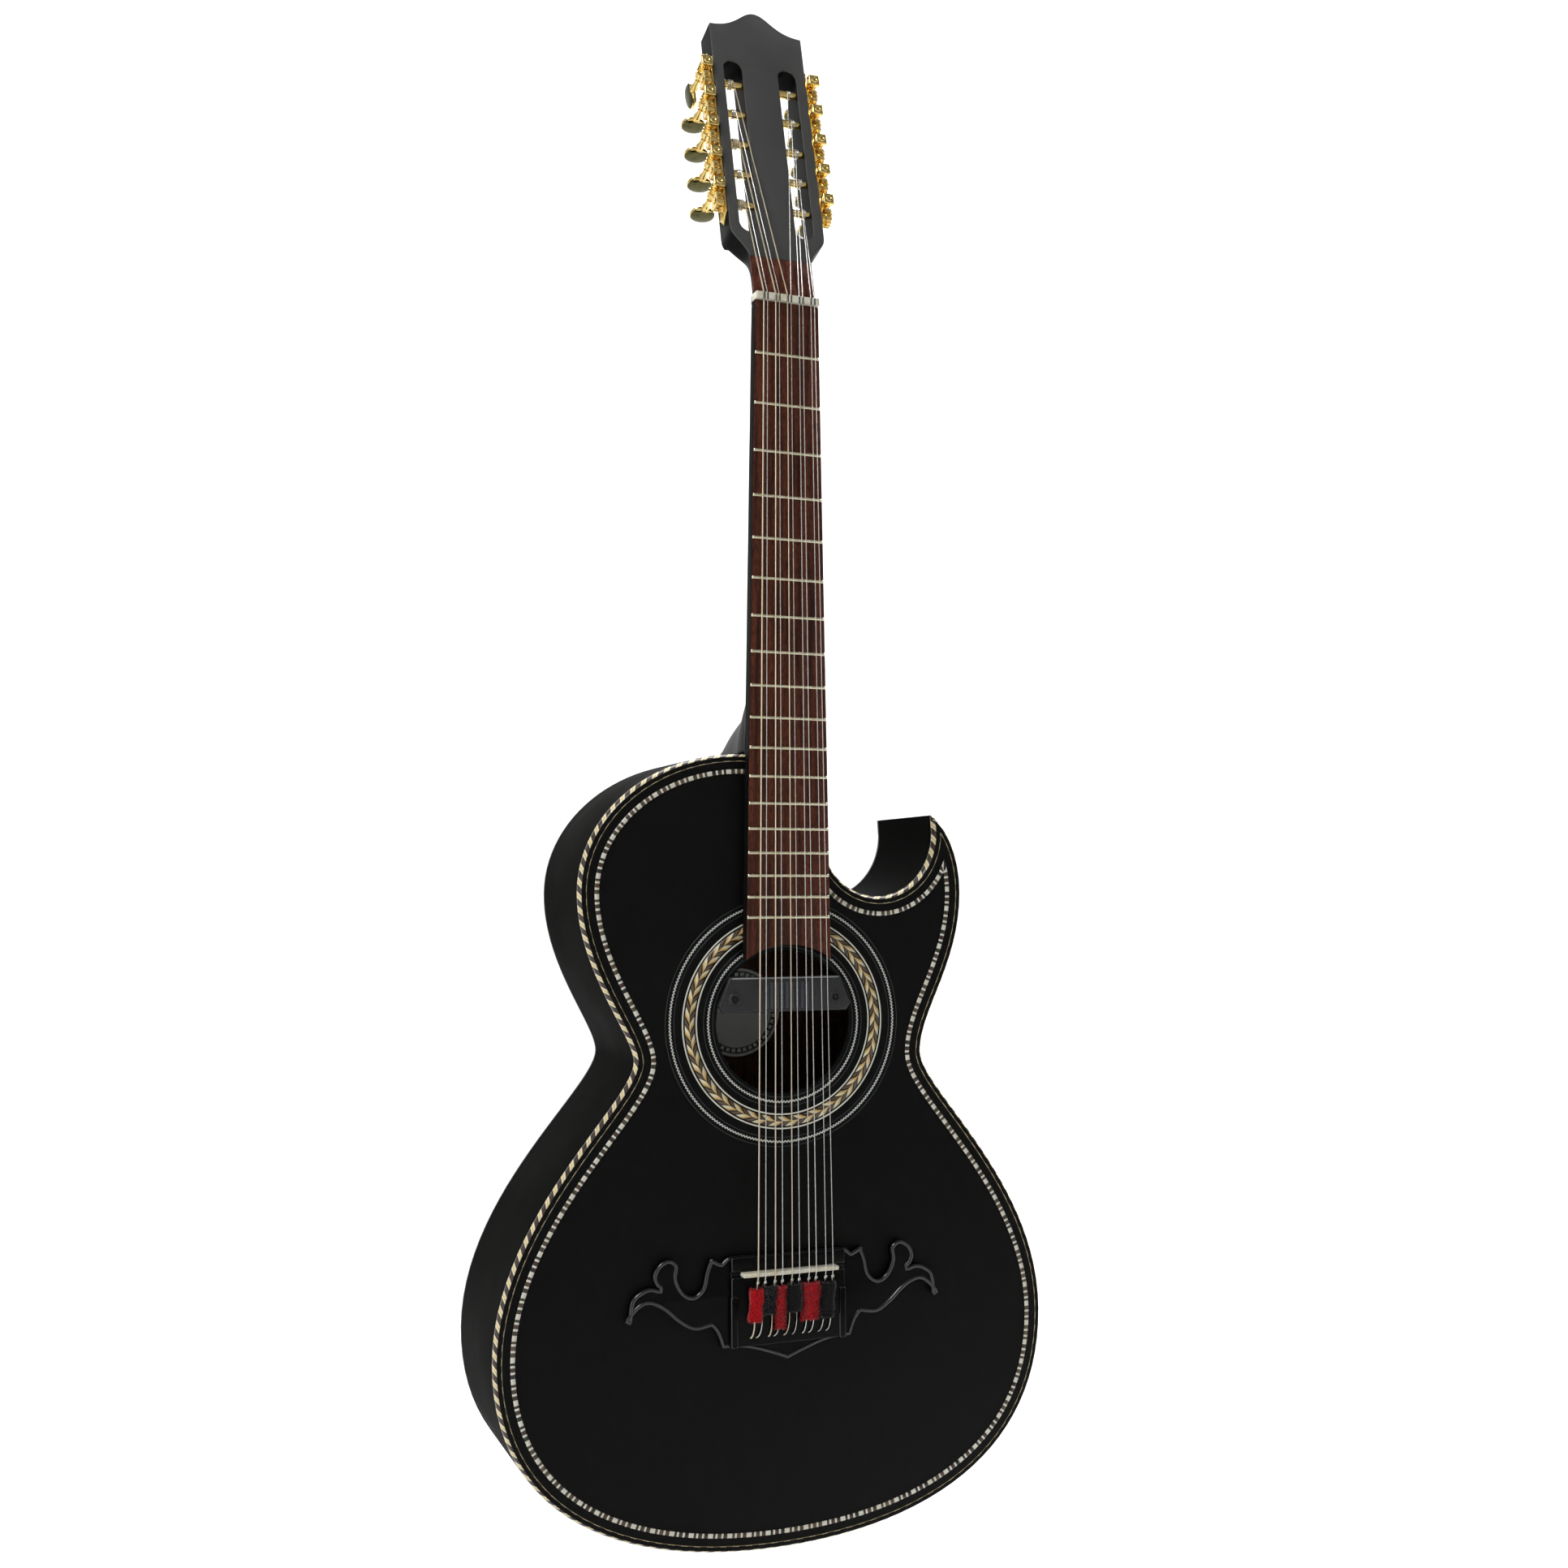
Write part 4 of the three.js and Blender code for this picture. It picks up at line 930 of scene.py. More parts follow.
@dataclass
class Studio:
    """The camera, the lights and the pale room that the hung instrument is seen in."""

    eye: tuple = (-0.4276, -1.0828, -0.4055)
    forward: tuple = (0.3734, 0.92713, 0.03151)
    upward: tuple = (-0.00868, -0.03048, 0.99950)
    lens: float = 39.44
    shift: tuple = (-0.0104, 0.0365)
    floor: float = -1.02
    wall: float = 5.0
    wall_top: float = 4.0
    bend: float = 0.5

    def camera(self) -> None:
        """Set the camera up."""
        data = bpy.data.cameras.new("camera")
        data.lens = self.lens
        data.sensor_width = 36.0
        data.shift_x, data.shift_y = self.shift
        data.clip_start = 0.02
        camera = bpy.data.objects.new("camera", data)
        forward = Vector(self.forward).normalized()
        right = forward.cross(Vector(self.upward)).normalized()
        upward = right.cross(forward)
        turn = Matrix((right, upward, -forward)).transposed().to_4x4()
        camera.matrix_world = Matrix.Translation(self.eye) @ turn
        bpy.context.scene.collection.objects.link(camera)
        bpy.context.scene.camera = camera

    def lamp(self, name: str, spot: Sequence[float], aim: Sequence[float], size: Sequence[float],
             power: float,
             tone: Sequence[float] = (1, 1, 1)) -> None:
        """Add a soft rectangular lamp.

        Args:
            name: Its name.
            spot: Where it stands, in metres.
            aim: The point it faces.
            size: Its width and height.
            power: Its power in watts.
            tone: Its colour.
        """
        data = bpy.data.lights.new(name, "AREA")
        data.shape = "RECTANGLE"
        data.size, data.size_y = size
        data.energy = power
        data.color = tone
        lamp = bpy.data.objects.new(name, data)
        facing = (Vector(aim) - Vector(spot)).to_track_quat("-Z", "Y")
        lamp.matrix_world = Matrix.Translation(spot) @ facing.to_matrix().to_4x4()
        bpy.context.scene.collection.objects.link(lamp)

    def room(self) -> None:
        """A floor and a wall joined by a wide curve, all round the back."""
        bend = self.bend
        profile = [(0.0, self.floor)]
        profile += [(self.wall - bend + bend * math.sin(a), self.floor + bend - bend * math.cos(a))
                    for a in (math.pi / 2 * i / 8 for i in range(9))]
        profile += [(self.wall, self.wall_top)]
        bm = bmesh.new()
        points = [bm.verts.new((0.0, reach, height)) for reach, height in profile]
        edges = [bm.edges.new(pair) for pair in zip(points, points[1:])]
        bmesh.ops.spin(bm, geom=points + edges, cent=(0, 0, 0), axis=(0, 0, 1), angle=2 * math.pi, steps=64,
                       use_merge=True, use_duplicate=False)
        bmesh.ops.remove_doubles(bm, verts=bm.verts, dist=1e-5)
        bmesh.ops.recalc_face_normals(bm, faces=bm.faces)
        bmesh.ops.reverse_faces(bm, faces=bm.faces)
        mesh = bpy.data.meshes.new("room")
        bm.to_mesh(mesh)
        bm.free()
        mesh.polygons.foreach_set("use_smooth", [True] * len(mesh.polygons))
        g = Graph("pale_room")
        tone = g.ramp(g.noise(0.8, detail=2), [(0.3, (0.66, 0.66, 0.65)), (0.7, (0.70, 0.70, 0.69))])
        mesh.materials.append(g.shade(Base_Color=tone, Roughness=0.9))
        room = bpy.data.objects.new("room", mesh)
        bpy.context.scene.collection.objects.link(room)

    def build(self) -> None:
        """Build the whole studio."""
        self.camera()
        self.room()
        middle = (0.0, 0.06, -0.35)
        self.lamp("key", (-1.7, -0.7, 1.9), middle, (0.9, 0.9), 30)
        self.lamp("fill", (-2.6, -0.4, -0.3), middle, (1.0, 2.0), 12)
        self.lamp("rim", (1.9, 0.9, 1.2), middle, (0.8, 1.6), 26)
        self.lamp("wall_wash", (0.8, 1.3, 2.8), (1.4, 4.2, -0.3), (3.0, 1.6), 300)
        world = bpy.data.worlds.new("dim")
        world.use_nodes = True
        sky = world.node_tree.nodes["Background"].inputs
        sky[0].default_value = (0.9, 0.95, 1.0, 1)
        sky[1].default_value = 0.22
        bpy.context.scene.world = world
        bpy.context.scene.view_settings.view_transform = "Standard"
        log.info("studio ready")


# --- Body outline ---


@dataclass
class BodyOutline:
    """The horned, waisted outline, and lines inset from it."""

    upper: float = 94.0
    waist: float = 206.0
    lower: float = 394.0
    upper_half: float = 143.2
    waist_half: float = 104.5
    lower_half: float = 198.3
    heel_half: float = 29.0
    horn_half: float = 136.6
    horn_centre: float = 100.0
    horn_rise: float = 59.0
    scoop_drop: float = 52.0
    scoop_depth: float = 45.0
    scoop_width: float = 86.0
    steps: int = 26
    edge: Plan = field(default_factory=list)

    def __post_init__(self) -> None:
        """Draw the outline, starting beside the heel and running down the bass side."""
        top, tail = LAYOUT.body_top, LAYOUT.tail
        upper, waist, lower = top - self.upper, top - self.waist, top - self.lower
        scoop = self.heel_half + self.scoop_width / 2
        outer = self.heel_half + self.scoop_width
        turn = top - self.scoop_drop
        bowl = turn - self.scoop_depth
        tip = (outer - 1, upper + self.horn_rise * math.sqrt(
            1 - ((outer - 1 - self.horn_centre) / (self.horn_half - self.horn_centre)) ** 2))
        self.tip = Vector(tip)
        line = [Vector((self.heel_half, top)), Vector((-self.heel_half, top))]
        line += self.quarter((-self.heel_half, top), (-self.upper_half, upper), True)
        h, w, low = self.upper_half, self.waist_half, self.lower_half
        for curve in (
            ((-h, upper), (-h, upper - 51), (-w, waist + 18), (-w, waist)),
            ((-w, waist), (-w, waist - 26), (-low, lower + 92), (-low, lower)),
            ((-low, lower), (-low, lower - 95), (-0.6 * low, tail), (0, tail)),
            ((0, tail), (0.6 * low, tail), (low, lower - 95), (low, lower)),
            ((low, lower), (low, lower + 92), (w, waist - 26), (w, waist)),
            ((w, waist), (w, waist + 28), (self.horn_half, upper - 51), (self.horn_half, upper)),
        ):
            line += cubic(curve, self.steps)[1:]
        reach = self.horn_half - self.horn_centre
        last = math.atan2((tip[1] - upper) / self.horn_rise, (tip[0] - self.horn_centre) / reach)
        line += [Vector((self.horn_centre + reach * math.cos(last * i / 14),
                         upper + self.horn_rise * math.sin(last * i / 14))) for i in range(1, 15)]
        line += [Vector((outer, turn)).lerp(Vector(tip), 1 - i / 6) for i in range(1, 7)]
        line += self.quarter((outer, turn), (scoop, bowl), False)
        line += self.quarter((scoop, bowl), (self.heel_half, turn), True)
        foot, head = Vector((self.heel_half, turn)), Vector((self.heel_half, top))
        line += [foot.lerp(head, i / 8) for i in range(1, 8)]
        self.edge = [p for i, p in enumerate(line) if (p - line[i - 1]).length > 0.05]

    def quarter(self, start: tuple, end: tuple, along: bool) -> Plan:
        """A quarter of an ellipse.

        Args:
            start: Its first point, which is left out.
            end: Its last point.
            along: Whether it leaves along X and not along Z.

        Returns:
            Its points.
        """
        handle = 0.5523  # length of the handles that make a cubic curve a quarter round
        (x0, z0), (x1, z1) = start, end
        if along:
            handles = (x0 + (x1 - x0) * handle, z0), (x1, z1 + (z0 - z1) * handle)
        else:
            handles = (x0, z0 + (z1 - z0) * handle), (x1 + (x0 - x1) * handle, z1)
        return cubic((start, *handles, end), self.steps)[1:]

    def inset(self, distance: float) -> Plan:
        """The edge moved inwards, with one point for each of its own.

        Args:
            distance: How far in millimetres; less than nothing moves it out.

        Returns:
            The moved points; those folded over at the horn's tip lie together on its middle line.
        """
        line = self.edge
        count = len(line)
        moved = []
        for i, point in enumerate(line):
            before = (point - line[i - 1]).normalized()
            after = (line[(i + 1) % count] - point).normalized()
            first = Vector((-before.y, before.x))
            middle = (first + Vector((-after.y, after.x))).normalized()
            moved.append(point + middle * (distance / max(0.3, middle.dot(first))))
        if distance <= 0:
            return moved
        tip = min(range(count), key=lambda i: (line[i] - self.tip).length)
        for near in (tip, 0, 1):
            self.fold(moved, near)
        return moved

    def fold(self, moved: Plan, corner: int) -> None:
        """Gather the points that an inset corner folds over into the point where its two lines cross.

        Args:
            moved: The inset points, which are changed.
            corner: The corner's own point among them.
        """
        count = len(moved)
        best = None
        for a in range(1, 26):
            for b in range(1, 26):
                p, q = moved[(corner - a) % count], moved[(corner - a + 1) % count]
                r, s = moved[(corner + b) % count], moved[(corner + b - 1) % count]
                cross = self.meet(p, q, r, s)
                if cross is not None and (best is None or a + b > best[0]):
                    best = (a + b, a, b, cross)
        if best:
            _, a, b, cross = best
            for step in range(-a + 1, b):
                moved[(corner + step) % count] = cross.copy()

    @staticmethod
    def meet(p: Vector, q: Vector, r: Vector, s: Vector) -> Vector | None:
        """Where two short lines cross, or nothing."""
        first, second = q - p, s - r
        turn = first.x * second.y - first.y * second.x
        if abs(turn) < 1e-9:
            return None
        gap = r - p
        t = (gap.x * second.y - gap.y * second.x) / turn
        u = (gap.x * first.y - gap.y * first.x) / turn
        return p + first * t if 0 <= t <= 1 and 0 <= u <= 1 else None


OUTLINE = BodyOutline()


def at_depth(plan: Plan, y: Level) -> list[Vector]:
    """Points of the plan at a level in front of or behind the soundboard's plane."""
    return [Vector((p[0], at(y, p[1]), p[1])) for p in plan]


def distances(plan: Sequence[Vector]) -> list[float]:
    """Distance along a closed line at each of its points, with the whole length last."""
    run = [0.0]
    for i in range(1, len(plan) + 1):
        run.append(run[-1] + (plan[i % len(plan)] - plan[i - 1]).length)
    return run


def without_twins(plan: Plan) -> Plan:
    """A closed line without its repeated points."""
    return [p for i, p in enumerate(plan) if (p - plan[i - 1]).length > 1e-3]


# --- Soundbox ---


@dataclass
class Soundbox:
    """Soundboard, back and sides, with the inlays let into them."""

    board: float = 3.0
    edge_round: float = 5.3
    wall: float = 3.0
    check_inset: float = 10.5
    check_width: float = 3.0
    fan_nodes: tuple = ("top_lining", "back_lining", "upper_transverse_brace", "lower_transverse_brace",
                        "fan_brace_1", "fan_brace_2", "fan_brace_3", "back_brace_1", "back_brace_2",
                        "neck_block", "tail_block")

    def soundboard(self) -> None:
        """The lacquered spruce top, open at the soundhole and thinned under the rope edge."""
        hole = circle((0, LAYOUT.hole), LAYOUT.hole_radius, 120)
        bm = flat_plate([without_twins(OUTLINE.inset(2.0)), hole], LAYOUT.soundboard,
                        LAYOUT.soundboard + self.board)
        for radius, at_hole in ((2.8, False), (0.7, True)):
            edges = [e for e in bm.edges if len(e.link_faces) == 2 and e.calc_face_angle(0.0) > 0.9
                     and all(abs(v.co.y - LAYOUT.soundboard) < 1e-3 for v in e.verts)
                     and (self.from_hole(e) < 60) == at_hole]
            round_edges(bm, edges, radius, 4)
        for face in bm.faces:
            middle = face.calc_center_median()
            if middle.y > LAYOUT.soundboard + self.board - 0.2:
                face.material_index = 1
        finish_piece(bm, "soundboard_panel", [FRONT_LACQUER, INNER_WOOD], replaces=["soundboard"],
                     crease=50)

    @staticmethod
    def from_hole(edge: bmesh.types.BMEdge) -> float:
        """Distance of an edge from the middle of the soundhole."""
        middle = (edge.verts[0].co + edge.verts[1].co) / 2
        return math.hypot(middle.x, middle.z - LAYOUT.hole)

    def back(self) -> None:
        """The back: lacquered outside, bare inside, with a rounded rim."""
        outer = LAYOUT.back
        bm = flat_plate([without_twins(OUTLINE.inset(0.05))], lambda z: outer(z) - self.board, outer,
                        round_back=1.6, steps=4)
        for face in bm.faces:
            middle = face.calc_center_median()
            if middle.y < outer(middle.z) - self.board + 0.2:
                face.material_index = 1
        finish_piece(bm, "back_panel", [BACK_LACQUER, INNER_BACK], replaces=["back_plate"],
                     crease=50)

    def sides(self) -> None:
        """Three bent strips that meet under the heel, at the horn's tip and at the tail."""
        edge = OUTLINE.inset(0.0)
        inner = OUTLINE.inset(self.wall)
        front = LAYOUT.soundboard + self.edge_round - 0.1
        count = len(edge)
        tip = min(range(count), key=lambda i: (edge[i] - OUTLINE.tip).length)
        tail = min(range(count), key=lambda i: abs(edge[i].x) + abs(edge[i].y - LAYOUT.tail))
        runs = {"bass_side": (0, tail), "treble_side": (tail, tip), "cutaway_side": (tip, count)}
        for name, (start, end) in runs.items():
            places = [i % count for i in range(start, end + 1)]
            rings = []
            for i in places:
                rear = LAYOUT.back(edge[i].y) - self.board - LAYOUT.gap / 2
                rings.append([Vector((edge[i].x, front, edge[i].y)), Vector((edge[i].x, rear, edge[i].y)),
                              Vector((inner[i].x, rear, inner[i].y)),
                              Vector((inner[i].x, front, inner[i].y))])
            bm = skin(rings, closed=True, caps=True)
            station = bm.verts.layers.int["station"]
            for face in bm.faces:
                if {corner[station] for corner in face.verts} == {2, 3}:
                    face.material_index = 1
            finish_piece(bm, name + "_strip", [SHELL_LACQUER, INNER_BACK], replaces=[name],
                         crease=40)

    def rope_edge(self) -> None:
        """The rounded rope of pale and dark wood along the soundboard's edge."""
        steps = 8
        rings = []
        across = []
        for i in range(steps + 1):
            angle = math.pi / 2 * i / steps
            inset = self.edge_round * (1 - math.cos(angle)) - 0.05
            level = LAYOUT.soundboard + self.edge_round * (1 - math.sin(angle)) - 0.05
            rings.append(at_depth(OUTLINE.inset(inset), level))
            across.append(self.edge_round * angle)
        bm = skin(rings, along=distances(rings[0]), across=across)
        bmesh.ops.recalc_face_normals(bm, faces=bm.faces)
        finish_piece(bm, "rope_edge", [ROPE], crease=60, solid=1.2)

    def check_line(self) -> None:
        """The chequered line let into the soundboard inside its dark border."""
        middle = OUTLINE.inset(self.check_inset + self.check_width / 2)
        level = LAYOUT.soundboard - 0.04
        rings = [at_depth(OUTLINE.inset(self.check_inset + share * self.check_width), level)
                 for share in (0.0, 1.0)]
        bm = skin(rings, along=distances(middle), across=[0.0, self.check_width])
        for face in bm.faces:
            if face.normal.y > 0:
                face.normal_flip()
        finish_piece(bm, "check_line", [CHECK], solid=0.3)

    def dress_inside(self) -> None:
        """Give the linings, braces and blocks their bare wood."""
        for node in self.fan_nodes:
            dress(node, INNER_WOOD)

    def build(self) -> None:
        """Build the soundbox."""
        self.soundboard()
        self.back()
        self.sides()
        self.rope_edge()
        self.check_line()
        self.dress_inside()


def dress(node: str, finish: Finish) -> None:
    """Give a node of the frame a finish.

    Args:
        node: The node's name.
        finish: Its finish.
    """
    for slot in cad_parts[node].material_slots:
        slot.link = "OBJECT"
        slot.material = finish.material
    log.info("%s: dressed with %s", node, finish.name)


# --- Rosette and label ---


@dataclass(frozen=True)
class ZigzagInlay(Finish):
    """A pale band whose edges are cut into small teeth."""

    name: str
    tooth: float = 0.0022
    width: float = 0.0020

    def build(self) -> Material:
        """Make the material."""
        g = Graph(self.name)
        uv = g.axes("UV")
        across = g.math("DIVIDE", uv["y"], self.width)
        phase = g.math("FRACT", g.math("DIVIDE", uv["x"], self.tooth))
        wave = g.math("ABSOLUTE", g.math("SUBTRACT", g.math("MULTIPLY", phase, 2.0), 1.0))
        offset = g.math("SUBTRACT", across, g.math("ADD", g.math("MULTIPLY", wave, 0.56), 0.22))
        share = g.between(g.math("ABSOLUTE", offset), 1.0, 0.0, 0.20, 0.25)
        tone = g.mix(share, (0.006, 0.006, 0.006), (0.80, 0.80, 0.74))
        return g.shade(Base_Color=tone, Roughness=0.3)


@dataclass
class Rosette:
    """The rings inlaid round the soundhole, and the paper label seen through it."""

    rings: tuple = (
        ("rosette_inner_line", 51.0, 51.4, "grey"),
        ("rosette_inner_teeth", 53.4, 55.4, "zigzag"),
        ("rosette_inner_shade", 57.4, 57.8, "grey"),
        ("rosette_inner_white", 62.3, 63.3, "white"),
        ("rosette_leaves", 64.1, 71.1, "leaves"),
        ("rosette_outer_white", 71.9, 72.9, "white"),
        ("rosette_outer_shade", 78.3, 78.7, "grey"),
        ("rosette_outer_teeth", 80.3, 82.3, "zigzag"),
        ("rosette_outer_line", 84.3, 84.7, "grey"),
    )
    proud: float = 0.04
    segments: int = 160
    label_radius: float = 32.5
    label_shift: float = 2.5

    def ring(self, name: str, inner: float, outer: float, kind: str) -> None:
        """One inlaid ring.

        Args:
            name: Its name.
            inner: Its inner radius.
            outer: Its outer radius.
            kind: Which inlay it is made of.
        """
        finish = {"grey": GREY_LINE, "white": PALE_LINE, "leaves": LEAVES, "zigzag": TEETH}[kind]
        middle = (inner + outer) / 2
        level = LAYOUT.soundboard - self.proud
        rings = [at_depth(circle((0, LAYOUT.hole), radius, self.segments), level)
                 for radius in (inner, outer)]
        along = [2 * math.pi * middle * i / self.segments for i in range(self.segments + 1)]
        bm = skin(rings, along=along, across=[0.0, outer - inner])
        for face in bm.faces:
            face.normal_update()
            if face.normal.y > 0:
                face.normal_flip()
        finish_piece(bm, name, [finish], solid=0.3)

    def label(self) -> None:
        """A round paper label glued inside the back."""
        z = LAYOUT.hole
        bm = flat_plate([circle((self.label_shift, z), self.label_radius, 64)],
                        lambda h: LAYOUT.back(h) - 3.25, lambda h: LAYOUT.back(h) - 3.0)
        paper = Paper("label_paper", self.label_radius * MM, (self.label_shift * MM, z * MM))
        finish_piece(bm, "label", [paper])

    def build(self) -> None:
        """Build the rings and the label."""
        for row in self.rings:
            self.ring(*row)
        self.label()


TEETH = ZigzagInlay("zigzag_inlay")


# --- Neck, fingerboard and nut ---


@dataclass
class Neck:
    """The neck with its heel and tongue, the fingerboard, its frets and the nut."""

    nut_depth: float = 12.5
    heel_depth: float = 17.5
    heel: tuple = ((0.0, 28, 78), (0.10, 27.6, 70), (0.17, 27, 62), (0.24, 26, 51), (0.33, 24, 42),
                   (0.48, 21.2, 36),
                   (0.64, 19, 31.5), (0.84, 16.5, 24.0), (1.0, 15, 13.2))
    cap_thickness: float = 2.5
    tongue: float = 2.9
    board: float = 6.5
    hole_rim: float = 4.0
    frets: int = 18
    fret_width: float = 2.2
    fret_height: float = 1.0
    pitch: float = 1.3

    def half_round(self, half: float, reach: float, count: int = 28) -> list[tuple[float, float]]:
        """Half an ellipse, from one side over its middle to the other."""
        return [(-half * math.cos(math.pi * i / count), reach * math.sin(math.pi * i / count))
                for i in range(count + 1)]

    def plan(self, start: float) -> Plan:
        """The fingerboard's outline down to the arc that follows the soundhole.

        Args:
            start: The height of its upper end.

        Returns:
            Its points.
        """
        radius = LAYOUT.hole_radius + self.hole_rim
        half = LAYOUT.half_width(LAYOUT.hole + radius * 0.8)
        turn = math.acos(half / radius)
        angles = (turn + (math.pi - 2 * turn) * i / 24 for i in range(25))
        arc = [Vector((-radius * math.cos(a), LAYOUT.hole + radius * math.sin(a))) for a in angles]
        wide = LAYOUT.half_width(start)
        return [Vector((-wide, start)), *arc, Vector((wide, start))]

    def shaft(self) -> None:
        """Shaft, heel and tongue, melted into one carved piece."""
        top, end = LAYOUT.neck_top, LAYOUT.body_top + LAYOUT.gap
        cap_front = LAYOUT.back(LAYOUT.body_top) - self.cap_thickness - LAYOUT.gap
        whole = bmesh.new()
        rows = []
        for i in range(25):
            z = -1 + (end + 1) * i / 24
            depth = self.nut_depth + (self.heel_depth - self.nut_depth) * z / LAYOUT.body_top
            rows.append([Vector((x, top + y, z)) for x, y in self.half_round(LAYOUT.half_width(z), depth)])
        join(whole, skin(rows, caps=True))
        rows = []
        for share, half, reach in spline(self.heel, 5):
            y = top + 1 + (cap_front - top - 1) * share
            rows.append([Vector((x, y, end + rise)) for x, rise in self.half_round(half, reach)])
        join(whole, skin(rows, caps=True))
        join(whole, flat_plate([self.plan(end + 10)], top, top + self.tongue))
        bmesh.ops.recalc_face_normals(whole, faces=whole.faces)
        rough = bpy.data.meshes.new("rough_neck")
        whole.to_mesh(rough)
        whole.free()
        holder = bpy.data.objects.new("rough_neck", rough)
        bpy.context.scene.collection.objects.link(holder)
        melt = holder.modifiers.new("melt", "REMESH")
        melt.mode = "VOXEL"
        melt.voxel_size = self.pitch
        melt.adaptivity = 0.0
        soften = holder.modifiers.new("soften", "SMOOTH")
        soften.factor = 0.5
        soften.iterations = 7
        depsgraph = bpy.context.evaluated_depsgraph_get()
        bm = bmesh.new()
        bm.from_object(holder, depsgraph)
        bpy.data.objects.remove(holder)
        bpy.data.meshes.remove(rough)
        for point, normal in (((0, top + 0.05, 0), (0, -1, 0)), ((0, 0, -1.0), (0, 0, 1))):
            cut = bmesh.ops.bisect_plane(bm, geom=bm.verts[:] + bm.edges[:] + bm.faces[:], plane_co=point,
                                         plane_no=normal, clear_outer=True)
            rim = [e for e in cut["geom_cut"] if isinstance(e, bmesh.types.BMEdge)]
            bmesh.ops.holes_fill(bm, edges=rim, sides=0)
        finish_piece(bm, "neck_shaft", [NECK_LACQUER], replaces=["neck"], crease=50)

    def heel_cap(self) -> None:
        """The small cap on the heel's end."""
        _, half, reach = self.heel[-1]
        outline = [Vector((x, LAYOUT.body_top + LAYOUT.gap + rise)) for x,
                   rise in self.half_round(half, reach)]
        back = LAYOUT.back(LAYOUT.body_top)
        bm = flat_plate([outline], back - self.cap_thickness - LAYOUT.gap, back, round_back=0.9)
        finish_piece(bm, "heel_cap_plate", [NECK_LACQUER], replaces=["heel_cap"])

    def fingerboard(self) -> None:
        """The rosewood fingerboard, with blackened sides."""
        bm = flat_plate([self.plan(-LAYOUT.gap)], 0.0, self.board, round_front=0.35, steps=2)
        for face in bm.faces:
            face.normal_update()
            face.material_index = 0 if face.normal.y < -0.6 else 1
        finish_piece(bm, "fingerboard_plank", [FINGERBOARD_WOOD, NECK_LACQUER], replaces=["fingerboard"],
                     crease=30)

    def fret(self, number: int) -> None:
        """One crowned fret with its ends filed at a slant.

        Args:
            number: Its place, counted from the nut.
        """
        z = LAYOUT.fret(number)
        half = LAYOUT.half_width(z) - 0.25
        crown = [(self.fret_width / 2 * math.cos(math.pi * i / 8),
                  -self.fret_height * math.sin(math.pi * i / 8))
                 for i in range(9)]
        slant = ((-half, 0.05), (-half + 0.5, 0.75), (-half + 1.1, 1.0), (0.0, 1.0), (half - 1.1, 1.0),
                 (half - 0.5, 0.75), (half, 0.05))
        rings = [[Vector((x, level * share + 0.02, z + run)) for run, level in crown] for x, share in slant]
        finish_piece(skin(rings, caps=True), f"fret_{number:02d}", [FRET_WIRE], crease=60)

    def nut(self) -> None:
        """The bone nut, slotted under each string, with painted shade on its slot walls."""
        half = LAYOUT.nut_width / 2
        top = 2.9
        line = [Vector((-half, -self.board)), Vector((-half, top - 0.6)), Vector((-half + 0.7, top))]
        for index in range(10):
            x, radius = STRINGS.nut_x(index), STRINGS.radii[index]
            floor = STRINGS.nut_height - radius + 0.05
            wide = radius + 0.3
            line += [Vector((x - wide, top)), Vector((x - wide, floor + wide * 0.6)), Vector((x, floor)),
                     Vector((x + wide, floor + wide * 0.6)), Vector((x + wide, top))]
        line += [Vector((half - 0.7, top)), Vector((half, top - 0.6)), Vector((half, -self.board))]
        bm = flat_plate([line], 0.05, 4.95, round_front=0.25, round_back=0.25, steps=2)
        for face in bm.faces:
            face.normal_update()
            spot = face.calc_center_median()
            # Painted shade: the side walls of the slots take the dark finish.
            in_slot = abs(spot.x) < half - 1.5 and 0.9 < spot.z < top - 0.15
            face.material_index = int(in_slot and abs(face.normal.y) < 0.5)
        place = Matrix(((1, 0, 0, 0), (0, 0, -1, 0), (0, 1, 0, 0), (0, 0, 0, 1)))
        finish_piece(bm, "nut_bar", [BONE, NUT_SLOT_SHADE], replaces=["nut"], place=place)

    def build(self) -> None:
        """Build the neck's pieces."""
        self.shaft()
        self.heel_cap()
        self.fingerboard()
        for number in range(1, self.frets + 1):
            self.fret(number)
        self.nut()


NECK = Neck()


# --- Bridge and what lies on it ---


